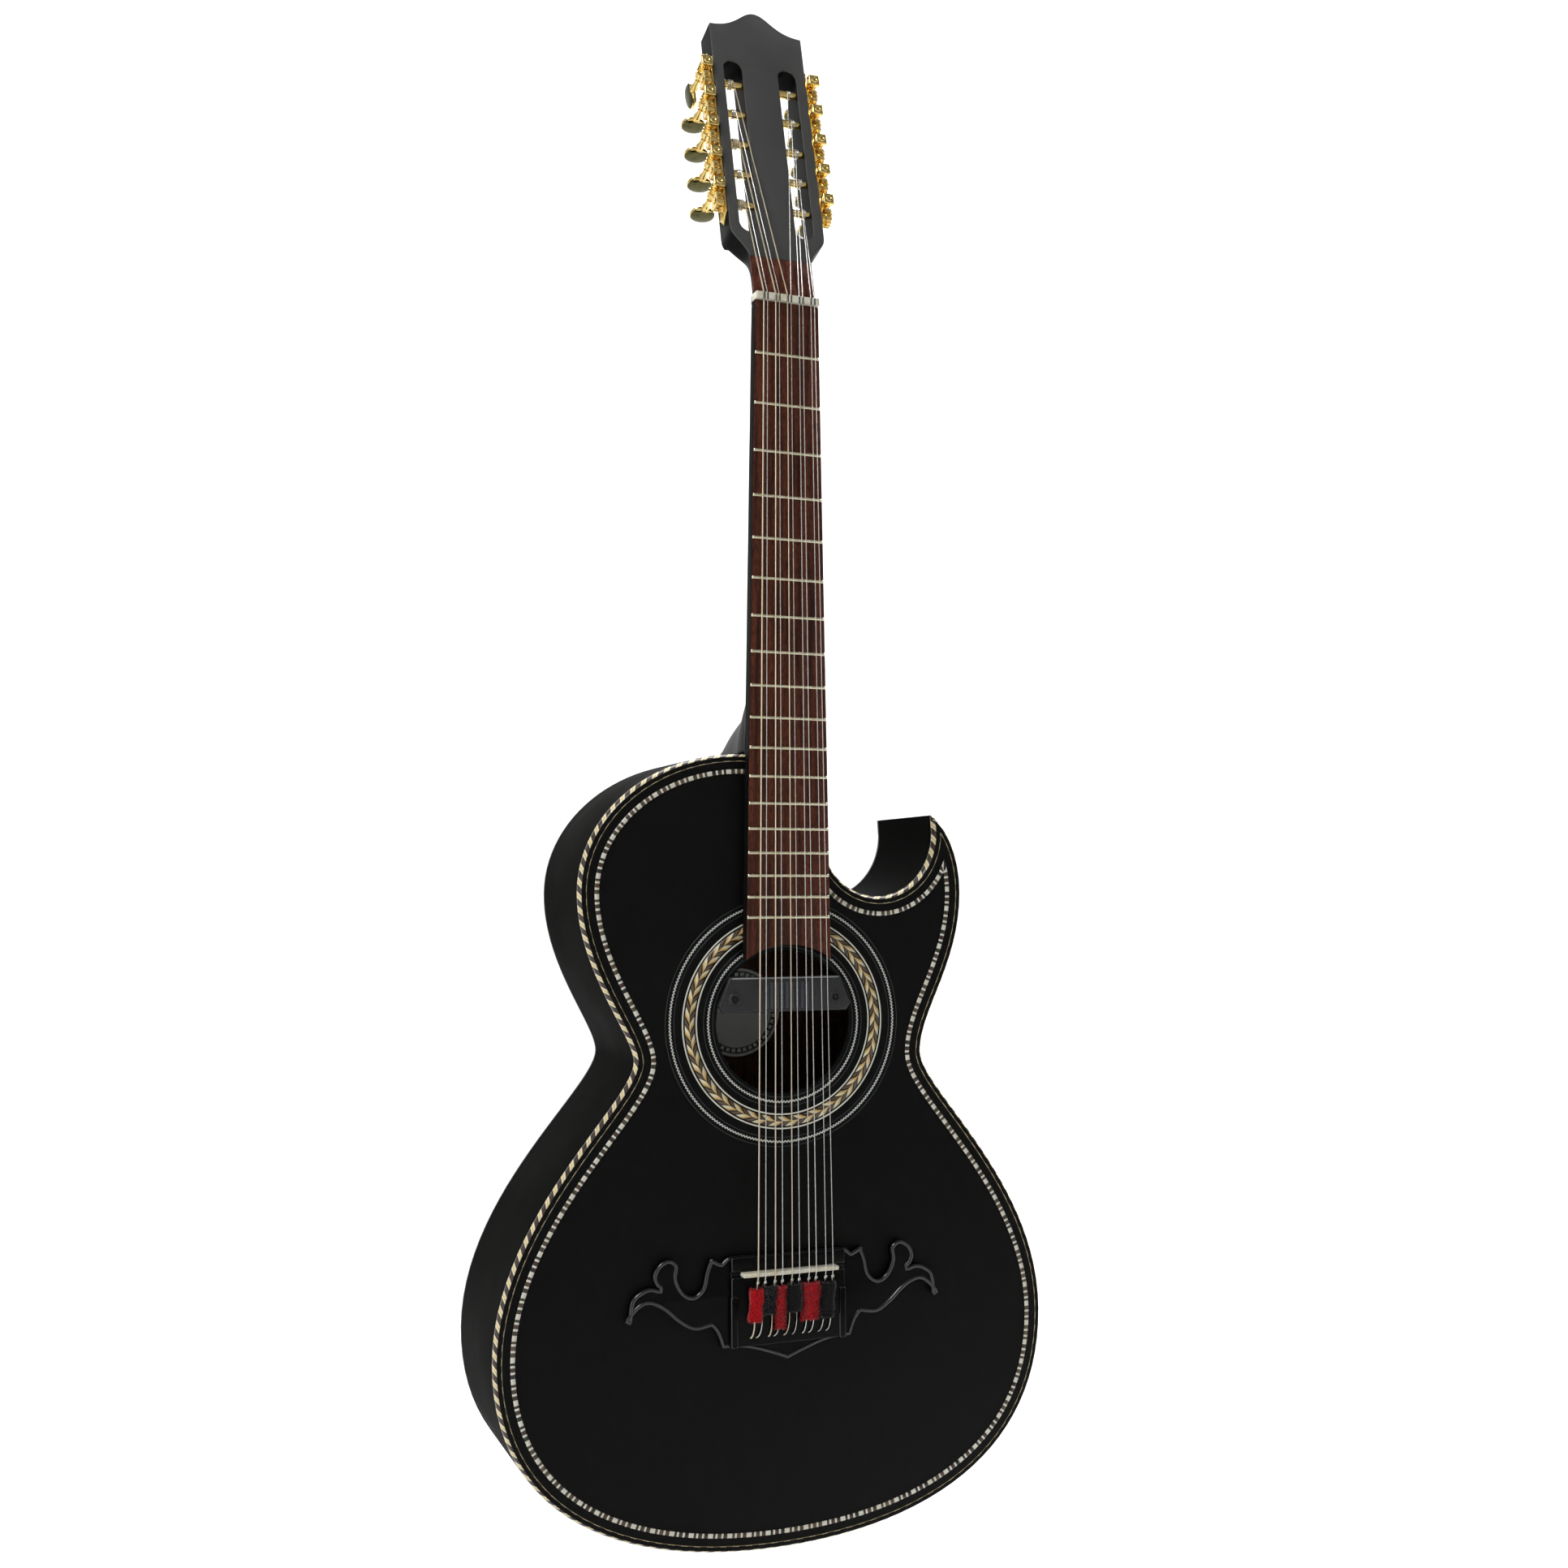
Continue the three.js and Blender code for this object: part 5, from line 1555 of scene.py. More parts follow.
@dataclass
class Bridge:
    """The scrolled bridge with its raised block, the bead along its edge, and the saddle."""

    base: float = 4.5
    block: float = 3.6
    block_half: float = 41.0
    front_margin: float = 12.0
    block_length: float = 60.0
    saddle_half: float = 34.4
    bead_radius: float = 1.5
    bead_inset: float = 1.6
    saddle_width: float = 3.0
    scroll: tuple = (
        (0, 12), (24, 12), (40, 12), (44, 10.5), (47, 8), (51, 10), (54.5, 11.5), (58, 3), (60.5, -7),
        (66.5, -12),
        (73, -9), (77.5, 0), (77, 9), (83.5, 13.5), (91, 10), (94.5, 3), (92.5, -3.5), (89, -6), (96, -4),
        (103, -6),
        (109.5, -12), (111.5, -26.5), (106.5, -20), (100, -15.5), (93.5, -16.5), (86, -21), (77, -29),
        (66, -35),
        (54, -33.5), (50, -39), (46.5, -48.5), (29, -50), (13, -55), (0, -60),
    )
    hooks: tuple = ((43, 12), (47, 8), (54.5, 11.5), (89, -6), (111.5, -26.5), (54, -33.5), (46.5, -48.5))

    def outline(self) -> Plan:
        """The scroll on both sides, rounded between its hooks."""
        z = LAYOUT.saddle
        half: list[Vector] = []
        run: list[tuple] = []
        for point in self.scroll:
            run.append(point)
            if point in self.hooks or point == self.scroll[-1]:
                half += spline(run, 5)[:-1] if len(run) > 2 else [Vector(p) for p in run[:-1]]
                run = [point]
        half.append(Vector(self.scroll[-1]))
        right = [Vector((p[0], z + p[1])) for p in half]
        left = [Vector((-p[0], z + p[1])) for p in half[1:-1]]
        return right + left[::-1]

    def front(self) -> float:
        """Level of the base's front face."""
        return LAYOUT.soundboard - LAYOUT.gap - self.base

    def wood(self) -> None:
        """Base and block as one carved piece."""
        back, front, z = LAYOUT.soundboard - 0.05, self.front(), LAYOUT.saddle
        bm = flat_plate([without_twins(self.outline())], front, back, round_front=2.9, steps=7)
        face = front - self.block
        upper, lower = z + self.front_margin - 0.5, z + self.front_margin - self.block_length
        half = self.block_half
        join(bm, block((-half, face, z + 1.8), (half, front + 1, upper), 1.1))
        join(bm, block((-half, face, lower), (half, front + 1, z - 1.8), 1.1))
        join(bm, block((-half, face + 1.6, z - 2.5), (half, front + 1, z + 2.5), 0.2, 1))
        for side in Side:
            low, high = sorted((side.value * (half - 4.5), side.value * (half + 0.6)))
            join(bm, block((low, face - 0.9, lower - 0.6), (high, front + 1, z - 14), 1.3))
        for face in bm.faces:
            face.normal_update()
            face.material_index = int(-0.96 < face.normal.y < -0.12)
        finish_piece(bm, "bridge_scroll", [BRIDGE_LACQUER, BRIDGE_EDGE], replaces=["bridge"],
                     crease=55)

    def bead(self) -> None:
        """The half-round bead carved along the scroll's edge."""
        plan = without_twins(self.outline())
        count = len(plan)
        turning = 1 if sum(a.cross(b) for a, b in zip(plan, plan[1:] + plan[:1])) > 0 else -1
        level = self.front() + 0.5
        route = []
        for i, point in enumerate(plan):
            ahead = (plan[(i + 1) % count] - plan[i - 1]).normalized()
            middle = point + Vector((-ahead.y, ahead.x)) * turning * self.bead_inset
            route.append(Vector((middle.x, level, middle.y)))
        wire("bridge_bead", [route + route[:1]], self.bead_radius, BRIDGE_EDGE, sides=12)

    def saddle(self) -> None:
        """The bone saddle, crowned and rounded at its ends."""
        top = -(STRINGS.saddle_height - 0.62)
        bm = block((-self.saddle_half, top, LAYOUT.saddle - self.saddle_width / 2),
                   (self.saddle_half, 3.6, LAYOUT.saddle + self.saddle_width / 2), 0.9, 4)
        finish_piece(bm, "saddle_bar", [BONE], replaces=["saddle"])

    def build(self) -> None:
        """Build the bridge."""
        self.wood()
        self.bead()
        self.saddle()


@dataclass
class Ribbons:
    """Tufts of red and black pile ribbon wrapped round the strings behind the saddle."""

    patches: tuple = (
        ("red_ribbon_1", (0,), 9.2, 9.3, 22.0), ("black_ribbon_1", (1, 2), 10.2, 8.0, 18.5),
        ("red_ribbon_2", (3,), 7.6, 9.0, 28.0), ("black_ribbon_2", (4, 5), 10.6, 8.0, 18.5),
        ("red_ribbon_3", (6, 7), 12.4, 8.6, 24.5), ("black_ribbon_3", (8, 9), 10.0, 9.5, 23.0),
    )
    half_depth: float = 2.3
    cloth: float = 0.7
    rows: int = 18
    around: int = 28
    fibres: int = 3
    seed: int = 11

    def level(self, drop: float) -> float:
        """Level of the strings at a distance below the saddle."""
        fall = STRINGS.saddle_height + STRINGS.block_front - 1.3
        return -STRINGS.saddle_height + drop * fall / STRINGS.tie_drop

    def patch(self, name: str, strings: tuple, width: float, start: float, length: float) -> None:
        """One piece of ribbon wrapped round its strings.

        Args:
            name: Its name.
            strings: The strings inside it.
            width: Its width across the strings.
            start: Distance of its upper edge below the saddle.
            length: Its length along the strings.
        """
        noise = random.Random(self.seed + len(name) + strings[0])
        red = name.startswith("red")
        middle = sum(STRINGS.saddle_x(i) for i in strings) / len(strings) + STRINGS.tie_shift / 2
        count = self.around
        ragged = [noise.uniform(-0.8, 0.8) for _ in range(count)]
        rings = []
        for j in range(self.rows + 1):
            share = j / self.rows
            drop = start + length * share
            sway = 0.35 * math.sin(5 * share + strings[0])
            swell = 1 + 0.07 * math.sin(9 * share + strings[0]) - 0.25 * max(0.0, abs(2 * share - 1) - 0.75)
            ring = []
            for i in range(count):
                angle = 2 * math.pi * i / count
                across = (width / 2 - 0.6) * swell + noise.uniform(-0.22, 0.22)
                deep = self.half_depth + noise.uniform(-0.15, 0.15)
                side, front = math.cos(angle), math.sin(angle)
                ring.append(Vector((middle + sway + across * math.copysign(abs(side) ** 0.6, side),
                                    self.level(drop) - deep * math.copysign(abs(front) ** 0.7, front),
                                    LAYOUT.saddle - drop - ragged[i] * share)))
            rings.append(ring)
        bm = skin(rings)
        area = sum(face.calc_area() for face in bm.faces)
        bmesh.ops.recalc_face_normals(bm, faces=bm.faces)
        finish = RED_PILE if red else BLACK_PILE
        replaces = ["mute_ribbon"] if name == "red_ribbon_1" else []
        piece = finish_piece(bm, name, [finish], replaces=replaces, crease=180,
                             solid=self.cloth)
        fibres = self.pile(name + "_pile", rings, finish, noise)

    def pile(self, name: str, rings: Sequence[Sequence[Vector]], finish: Finish,
             noise: random.Random) -> Piece:
        """Short fibres standing out of a wrapped piece.

        Args:
            name: The fibres' name.
            rings: The cloth's rings of points.
            finish: Their finish.
            noise: Where their places and leans come from.

        Returns:
            The fibres.
        """
        whole = bmesh.new()
        for ring in rings:
            middle = sum(ring, Vector()) / len(ring)
            for i, point in enumerate(ring):
                for _ in range(self.fibres):
                    place = point.lerp(ring[i - 1], noise.random())
                    lean = ((place - middle).normalized()
                            + Vector([noise.uniform(-0.8, 0.8) for _ in range(3)])).normalized()
                    size = noise.uniform(0.8, 2.1)
                    turn = lean.to_track_quat("Z", "Y").to_matrix().to_4x4()
                    spot = place + Vector((0, 0, noise.uniform(-0.7, 0.7))) + lean * (size * 0.4)
                    bmesh.ops.create_cone(whole, cap_ends=True, segments=3, radius1=0.24, radius2=0.06,
                                          depth=size, matrix=Matrix.Translation(spot) @ turn)
        return finish_piece(whole, name, [finish], crease=180)

    def build(self) -> None:
        """Build the six pieces of ribbon."""
        for row in self.patches:
            self.patch(*row)


@dataclass
class Pickup:
    """The bar pickup across the soundhole, and the jack in the end block."""

    overhang: float = 10.7
    length: float = 24.0
    rise: float = 31.0
    lip: float = 3.7
    body_depth: float = 14.0
    jack_flange: float = 9.0

    def bar(self) -> None:
        """The bar with its sunk field, ribs, end bosses and a painted highlight strip along its top edge."""
        top = LAYOUT.hole + self.rise
        bottom = top - self.length
        half = math.sqrt(LAYOUT.hole_radius**2 - self.rise**2) + self.overhang
        front = LAYOUT.soundboard - LAYOUT.gap - self.lip
        corners = [(-half + 8, top), (half - 8, top), (half, bottom + 5), (half - 3, bottom),
                   (-half + 3, bottom),
                   (-half, bottom + 5)]
        bm = flat_plate([[Vector(p) for p in corners]], front, LAYOUT.soundboard - 0.05, round_front=1.3,
                        steps=4)
        inner = half - self.overhang - 3
        join(bm, block((-inner, LAYOUT.soundboard - 1, bottom + 1),
                       (inner, LAYOUT.soundboard + self.body_depth, top - 1), 1.5))
        spots = {side: (side.value * (half - 11.5), front, bottom + 9) for side in Side}
        for spot in spots.values():
            boss = lathe([(0, 1), (4.6, 1), (4.6, -0.5), (4.2, -0.95), (3.0, -0.95), (2.6, -0.5), (0, -0.5)])
            join(bm, boss, place=Matrix.Translation(spot))
        finish_piece(bm, "pickup_bar", [PICKUP_PLASTIC], replaces=["pickup"],
                     crease=40)
        ribs = bmesh.new()
        for i in range(9):
            x = -14 + 3.7 * i
            join(ribs, block((x - 1.1, front - 0.5, bottom + 2.5), (x + 1.1, front + 0.2, top - 4.2), 0.4, 2))
        finish_piece(ribs, "pickup_rib_field", [PICKUP_RIBS], crease=40)
        # Painted highlight: a pale strip stands for the light caught on the bar's upper edge.
        lip = block((-half + 9, front - 0.5, top - 1.5), (half - 9, front + 0.3, top - 0.5), 0.35, 2)
        finish_piece(lip, "pickup_edge_line", [PICKUP_PAINTED_HIGHLIGHT], crease=40)
        for side, spot in spots.items():
            screw(f"pickup_screw_{side.name.lower()}", spot, 2.2, BLACK_SCREW)

    def jack(self) -> None:
        """The jack's collar and barrel at the tail."""
        y = (LAYOUT.soundboard + LAYOUT.back(LAYOUT.tail)) / 2
        r = self.jack_flange
        profile = [(3.4, 24.0), (6.0, 24.0), (6.0, -0.3), (r * 0.92, -0.3), (r, -1.2), (r * 0.78, -3.6),
                   (r * 0.74, -5.2), (r * 0.95, -7.2), (r * 0.95, -8.4), (r * 0.8, -9.0), (3.4, -9.0),
                   (3.4, 24.0)]
        bm = lathe(profile, 36)
        place = Matrix.Translation((0, y, LAYOUT.tail)) @ Matrix.Rotation(math.pi / 2, 4, "X")
        finish_piece(bm, "end_jack", [CHROME], replaces=["end_pin_jack"], place=place)

    def build(self) -> None:
        """Build the pickup and the jack."""
        self.bar()
        self.jack()


def screw(name: str, spot: Sequence[float], radius: float, finish: Finish, place: Matrix | None = None,
          body: str = BODY) -> None:
    """A domed screw with a cross cut in its head, facing the front.

    Args:
        name: Its name.
        spot: The middle of its seat.
        radius: Its head's radius.
        finish: Its finish.
        place: A matrix from its own place to the frame.
        body: The body that it rides on.
    """
    arm = radius * 0.62
    wide = radius * 0.16
    slot = [(wide, wide), (arm, wide), (arm, -wide), (wide, -wide), (wide, -arm), (-wide, -arm),
            (-wide, -wide),
            (-arm, -wide), (-arm, wide), (-wide, wide), (-wide, arm), (wide, arm)]
    head = flat_plate([circle((0, 0), radius, 24), [Vector(p) for p in slot]], -radius * 0.45, 0.2,
                      round_front=radius * 0.12)
    floor = flat_plate([circle((0, 0), radius * 0.8, 16)], -radius * 0.12, 0.15)
    join(head, floor)
    at_spot = Matrix.Translation(spot)
    finish_piece(head, name, [finish], body, place=at_spot if place is None else place @ at_spot)


# --- Strings ---


@dataclass
class Strings:
    """Five pairs of strings, from the rollers over nut and saddle to the bridge."""

    radii: tuple = (0.6, 0.36, 0.55, 0.34, 0.45, 0.3, 0.36, 0.36, 0.3, 0.3)
    nut_pitch: float = 8.6
    nut_pair: float = 2.6
    nut_shift: float = 0.8
    saddle_pitch: float = 12.2
    saddle_pair: float = 5.2
    saddle_shift: float = 2.6
    nut_height: float = 2.2
    saddle_height: float = 4.4
    tie_drop: float = 44.0
    tie_shift: float = -1.5
    block_front: float = 1.6
    wound: float = 0.4

    @staticmethod
    def spread(index: int, pitch: float, pair: float, shift: float) -> float:
        """Place of a string across the instrument."""
        return shift + (index // 2 - 2) * pitch + (pair if index % 2 else -pair) / 2

    def nut_x(self, index: int) -> float:
        """Place of a string at the nut."""
        return self.spread(index, self.nut_pitch, self.nut_pair, self.nut_shift)

    def saddle_x(self, index: int) -> float:
        """Place of a string at the saddle."""
        return self.spread(index, self.saddle_pitch, self.saddle_pair, self.saddle_shift)

    def string(self, index: int) -> None:
        """One string with the loose end that comes out under the ribbon.

        Args:
            index: Its place from the bass side, from 0.
        """
        radius = self.radii[index]
        side = -1 if index < 5 else 1
        k = index if side < 0 else 9 - index
        top = HEAD.place @ Vector((HEAD.winding(k) * side,
                                   HEAD.roller_depth - HEAD.roller_radius - 0.3 - radius,
                                   HEAD.rise(k)))
        nut, low = self.nut_x(index), self.saddle_x(index)
        z = LAYOUT.saddle
        tie = low + self.tie_shift + (low - nut) * self.tie_drop / -z
        run = [top, Vector((nut, 0.1 - self.nut_height, 4.9)), Vector((nut, -self.nut_height, 0)),
               Vector((low, -self.saddle_height, z + 1.5)), Vector((low, 0.1 - self.saddle_height, z - 1.5))]
        route = []
        for a, b in zip(run, run[1:]):
            pieces = 3 if (b - a).length > 20 else 2
            route += [a.lerp(b, i / pieces) for i in range(pieces)]
        bend = random.Random(index).uniform(-0.5, 0.5)
        tail = [run[-1], Vector((low - 0.2, -self.saddle_height + 0.9, z - 6))]
        tail += [Vector((tie + x, self.block_front - lift, z - drop)) for x, lift, drop in (
            (1.2, 1.4, 26), (0.9, 1.4, 33), (0.2 + bend * 0.4, 1.3, 38), (-1.0 + bend, 1.1, 41.2),
            (-2.6 + 2 * bend, 0.9, 42.4))]
        route += spline(tail, 5)
        finish = WOUND_WIRE if radius > self.wound else STEEL_WIRE
        name = f"string_{index + 1:02d}"
        wire(name + "_wire", [route], radius * 0.92, finish, replaces=[name])

    def knots(self) -> None:
        """The small tied loops where the strings leave the saddle."""
        z = LAYOUT.saddle - 4.2
        level = -self.saddle_height + 0.55 - 0.35
        turns = [(2 * math.pi * 2 * i / 24, z - 2.0 * i / 24) for i in range(25)]
        routes = []
        for index in range(10):
            x = self.saddle_x(index) - 0.2
            routes.append([Vector((x + math.sin(a), level + 0.5 * math.cos(a), height)) for a,
                           height in turns])
        wire("string_knots", routes, 0.22, STEEL_WIRE, sides=6)

    def build(self) -> None:
        """Build the strings."""
        for index in range(10):
            self.string(index)
        self.knots()


STRINGS = Strings()


# --- Head and tuners ---


@dataclass
class Head:
    """The slotted head, leaning back from the nut, and its ten worm tuners."""

    tilt: float = 15.0
    drop: float = 3.5
    thickness: float = 20.0
    plate: float = 1.2
    root_length: float = 30.0
    root_half: float = 22.8
    root_end: float = 46.0
    half: float = 35.0
    shoulder: float = 52.0
    length: float = 220.0
    crown: float = 15.0
    slot_centre: float = 20.7
    slot_half: float = 7.5
    slot_start: float = 49.0
    slot_end: float = 191.0
    first: float = 73.4
    pitch: float = 25.0
    roller_depth: float = 5.0
    roller_radius: float = 2.8
    roller_start: float = 8.5
    side_plate: float = 1.5
    side_plate_half: float = 7.0
    side_plate_depth: float = 8.5
    gear_radius: float = 6.8
    gear_thickness: float = 4.0
    gear_standoff: float = 2.2
    worm_radius: float = 3.8
    worm_length: float = 7.6
    worm_gap: float = 0.4
    lug: float = 4.0
    teeth: int = 14
    neck_length: float = 15.0
    neck_radius: float = 2.9
    button: tuple = (9.0, 8.0, 2.9)
    worm_x: float = 0.0
    offset: float = 0.0
    place: Matrix = field(default_factory=Matrix)

    def __post_init__(self) -> None:
        """Work out the places that follow from the sizes."""
        self.worm_x = self.half + LAYOUT.gap + self.side_plate + self.gear_standoff + self.gear_thickness / 2
        self.offset = self.gear_radius + self.worm_radius + self.worm_gap
        self.place = Matrix.Translation((0, self.drop, 5)) @ Matrix.Rotation(math.radians(-self.tilt), 4, "X")

    def rise(self, k: int) -> float:
        """Height of a roller up the head."""
        return self.first + self.pitch * k

    def winding(self, k: int) -> float:
        """Distance from the middle to where a string meets its roller."""
        return 22 - 0.3 * k

    def outline(self, start: float, shrink: float = 0.0) -> Plan:
        """The head's outline from a height up.

        Args:
            start: Where it starts.
            shrink: How much narrower than the wood it is on each side.

        Returns:
            Its points.
        """
        root, half = self.root_half - shrink, self.half - shrink
        top = self.length - shrink * 0.4
        flare = (half - 2, self.shoulder - 6)
        right = [Vector((root, start))]
        if start < self.root_length:
            right.append(Vector((root, self.root_length - 6)))
        right += spline([(root, self.root_length - 2), (root + 0.7, self.root_length + 3),
                         (flare[0] - 5, flare[1] - 6), flare, (half - 0.3, flare[1] + 4),
                         (half, self.shoulder + 4)], 4)
        right.append(Vector((half, (self.shoulder + top) / 2)))
        right += cubic(((half, top), (14, top + 0.3), (10, top + self.crown), (0, top + self.crown)), 16)
        return right + [Vector((-p.x, p.y)) for p in right[-2::-1]]

    def slots(self, grow: float = 0.0) -> list[Plan]:
        """The two long slots.

        Args:
            grow: How much wider than the plain slot they are on each side.

        Returns:
            Their outlines.
        """
        loops = []
        r = self.slot_half + grow
        for side in Side:
            x = side.value * self.slot_centre
            top, bottom = self.slot_end - self.slot_half, self.slot_start + self.slot_half
            arc = [math.pi * i / 16 for i in range(17)]
            loops.append([Vector((x + r * math.cos(a), top + r * math.sin(a))) for a in arc]
                         + [Vector((x - r * math.cos(a), bottom - r * math.sin(a))) for a in arc])
        return loops

    def root(self) -> Mesh:
        """The root, from the neck's half round into the head's squarer section.

        Returns:
            It, in the head's own place.
        """
        back = self.place.inverted()
        lean = math.radians(self.tilt)
        rows = []
        top = LAYOUT.neck_top + 0.05
        for z, tilt in ((-1.0, 0.0), (4.3, lean)):
            cos, sin = math.cos(tilt), math.sin(tilt)
            rows.append([back @ Vector((x, top + y * cos, z - y * sin))
                         for x, y in NECK.half_round(LAYOUT.nut_width / 2, NECK.nut_depth)])
        deep = NECK.nut_depth + 1.83
        edge = [point for point in self.outline(0.0) if point.x > 0]
        for step in range(17):
            s = 0.3 + (self.root_end + 0.7) * step / 16
            ahead = min(1.0, max(0.0, (s - 13) / (self.root_end - 13)))
            blend = ahead * ahead * (3 - 2 * ahead)
            half = next(a.x + (b.x - a.x) * (s - a.y) / (b.y - a.y)
                        for a, b in zip(edge, edge[1:]) if a.y <= s < b.y)
            power = 1 - 0.82 * blend
            depth = deep + (self.thickness - self.plate - 0.2 - deep) * blend
            rows.append([Vector((math.copysign((half - 0.05) * (abs(x) ** power), x),
                                 self.plate + 0.1 + depth * abs(y) ** power, s))
                         for x, y in NECK.half_round(1.0, 1.0)])
        return skin(rows, caps=True)

    def wood(self) -> None:
        """The head's core, with its root melting into the neck."""
        upper = [point for point in self.outline(self.root_length) if point.y > self.root_end - 0.5]
        bm = flat_plate([upper] + self.slots(), self.plate, self.thickness, round_back=2.2, steps=4)
        join(bm, self.root())
        finish_piece(bm, "headstock_core", [NECK_LACQUER], replaces=["headstock"],
                     place=self.place, crease=40)

    def facings(self) -> None:
        """The black plate on the head's face, whose grey tone is painted reflection, and the bare wood
        between it and the nut.
        """
        bm = flat_plate([self.outline(self.root_length + LAYOUT.gap, 0.1)] + self.slots(-0.3), 0.0,
                        self.plate + 0.05,
                        round_front=0.8, steps=3)
        finish_piece(bm, "head_face_plate", [HEAD_PLATE_PAINTED_SHEEN], replaces=["head_plate"],
                     place=self.place, crease=30)
        half = self.root_half
        bm = block((-half, 0.0, -0.6), (half, self.plate + 0.2, self.root_length), 0.4, 2)
        finish_piece(bm, "head_root_facing", [ROOT_WOOD], replaces=["head_root_veneer"],
                     place=self.place)

    def build(self) -> None:
        """Build the head and its tuners."""
        self.wood()
        self.facings()
        for side in Side:
            TunerRow(side).build()


HEAD = Head()


@dataclass
class TunerRow:
    """One side's plate with its five rollers, gears, worms and buttons."""

    side: Side
    windings: float = 3.5

    def name(self, kind: str, k: int) -> str:
        """The frame's name of a tuner piece."""
        return f"tuner_{kind}_{self.side.name.lower()}_{k + 1}"

    def across(self, x: float) -> float:
        """A distance from the middle, on this side."""
        return x * self.side.value

    def between(self, a: float, b: float) -> tuple[float, float]:
        """Two distances on this side, lower first."""
        low, high = sorted((self.across(a), self.across(b)))
        return low, high

    def facing(self, outer: float, depth: float = 0.0, height: float = 0.0) -> Matrix:
        """The turn that lays a flat piece on the side plate's outer face.

        Args:
            outer: How far the face is from the middle.
            depth: The place it is laid at, behind the head's face.
            height: That place up the head.

        Returns:
            The matrix.
        """
        way = self.side.value
        return Matrix(((0, -way, 0, way * outer), (1, 0, 0, depth), (0, 0, 1, height), (0, 0, 0, 1)))

    def plate(self) -> None:
        """The side plate with pointed ends, lugs, caps and screws."""
        inner = HEAD.half + LAYOUT.gap
        outer = inner + HEAD.side_plate
        low = HEAD.rise(0) - 13
        high = HEAD.rise(4) + HEAD.offset + 13
        middle, half = HEAD.side_plate_depth, HEAD.side_plate_half
        point = ((-1, 5), (-0.55, 2), (0, -3), (0.55, 2), (1, 5))
        line = [Vector((middle + half * share, low + rise)) for share, rise in point]
        for k in range(5):
            z = HEAD.rise(k) + HEAD.offset
            line += [Vector((middle + half, z - 8)), Vector((middle + half + 1.6, z - 5)),
                     Vector((middle + half + 1.6, z + 5)), Vector((middle + half, z + 8))]
        line += [Vector((middle - half * share, high - rise)) for share, rise in point]
        bm = flat_plate([line], 0.0, HEAD.side_plate, round_front=0.45, steps=3)
        bmesh.ops.transform(bm, matrix=self.facing(outer), verts=bm.verts)
        front = HEAD.roller_depth - HEAD.worm_length / 2 - LAYOUT.gap
        rear = HEAD.roller_depth + HEAD.worm_length / 2 + LAYOUT.gap
        for k in range(5):
            z = HEAD.rise(k) + HEAD.offset
            for start, end in ((front - HEAD.lug + 1.4, front), (rear, rear + HEAD.lug)):
                web = self.between(outer - 0.4, HEAD.worm_x)
                join(bm, block((web[0], start + 0.2, z - 3.6), (web[1], end - 0.2, z + 3.6), 0.4, 2))
                r = HEAD.worm_radius
                ring = lathe([(1.9, start), (r - 0.5, start), (r, start + 0.5), (r, end - 0.5),
                              (r - 0.5, end),
                              (1.9, end), (1.9, start)])
                join(bm, ring, place=Matrix.Translation((self.across(HEAD.worm_x), 0, z)))
        side = self.side.name.lower()
        finish_piece(bm, "tuner_side_plate_" + side, [GOLD], replaces=["tuner_plate_" + side],
                     place=HEAD.place, crease=35)
        self.caps(front)
        heights = (low + 4.5, high - 4.5, HEAD.rise(1) + HEAD.offset + 12.5,
                   HEAD.rise(3) + HEAD.offset + 12.5)
        for i, z in enumerate(heights, 1):
            depth = middle - 3.0 * (i > 2)
            screw(f"tuner_screw_{side}_{i}", (0, 0, 0), 2.1, GOLD, HEAD.place @ self.facing(outer, depth, z))

    def caps(self, front: float) -> None:
        """The dimpled square caps in front of the worms.

        Args:
            front: Depth of the front lugs' inner faces.
        """
        bm = bmesh.new()
        x = self.across(HEAD.worm_x - 0.2)
        for k in range(5):
            z = HEAD.rise(k) + HEAD.offset
            cap = block((-4.1, -1.6, -4.1), (4.1, 1.4, 4.1), 0.9, 4)
            join(bm, cap, place=Matrix.Translation((x, front - HEAD.lug + 1.2, z)))
            dimple = lathe([(0, 0.5), (0.7, 0.35), (1.3, 0.0), (1.6, -0.35), (1.9, -0.5), (2.3, -0.5),
                            (2.6, -0.1),
                            (2.7, 0.9), (0, 0.9), (0, 0.5)], 20)
            join(bm, dimple, place=Matrix.Translation((x, front - HEAD.lug - 0.5, z)))
        finish_piece(bm, f"tuner_caps_{self.side.name.lower()}", [GOLD], place=HEAD.place, crease=40)

    def roller(self, k: int) -> None:
        """A roller with its bead, axle and toothed gear, and the string wound on it.

        Args:
            k: Its place up the head, from 0.
        """
        body = self.name("roller", k)
        inner = HEAD.half + LAYOUT.gap + HEAD.side_plate + LAYOUT.gap
        gear = HEAD.half + LAYOUT.gap + HEAD.side_plate + HEAD.gear_standoff
        gear_end = gear + HEAD.gear_thickness
        r = HEAD.roller_radius
        start = HEAD.roller_start
        profile = [(0, start), (1.5, start), (2.2, start + 0.4), (2.5, start + 1.2), (2.2, start + 2.0),
                   (1.8, start + 2.4), (r - 0.3, start + 3.0), (r, start + 3.4), (r, 27.0), (r - 0.5, 27.4),
                   (r - 0.5, 28.2), (r, 28.6), (r, inner), (r + 0.8, inner), (r + 0.8, gear + 0.1),
                   (2.2, gear + 0.1),
                   (2.2, gear_end), (2.6, gear_end), (2.6, gear_end + 0.7), (2.2, gear_end + 1.1),
                   (0, gear_end + 1.1)]
        bm = lathe(profile, 24)
        wheel: Plan = []
        tip, root = HEAD.gear_radius, HEAD.gear_radius - 1.3
        for tooth in range(HEAD.teeth):
            for share, radius in ((0.0, root), (0.22, root), (0.38, tip), (0.62, tip), (0.78, root)):
                angle = 2 * math.pi * (tooth + share) / HEAD.teeth
                wheel.append(Vector((radius * math.cos(angle), radius * math.sin(angle))))
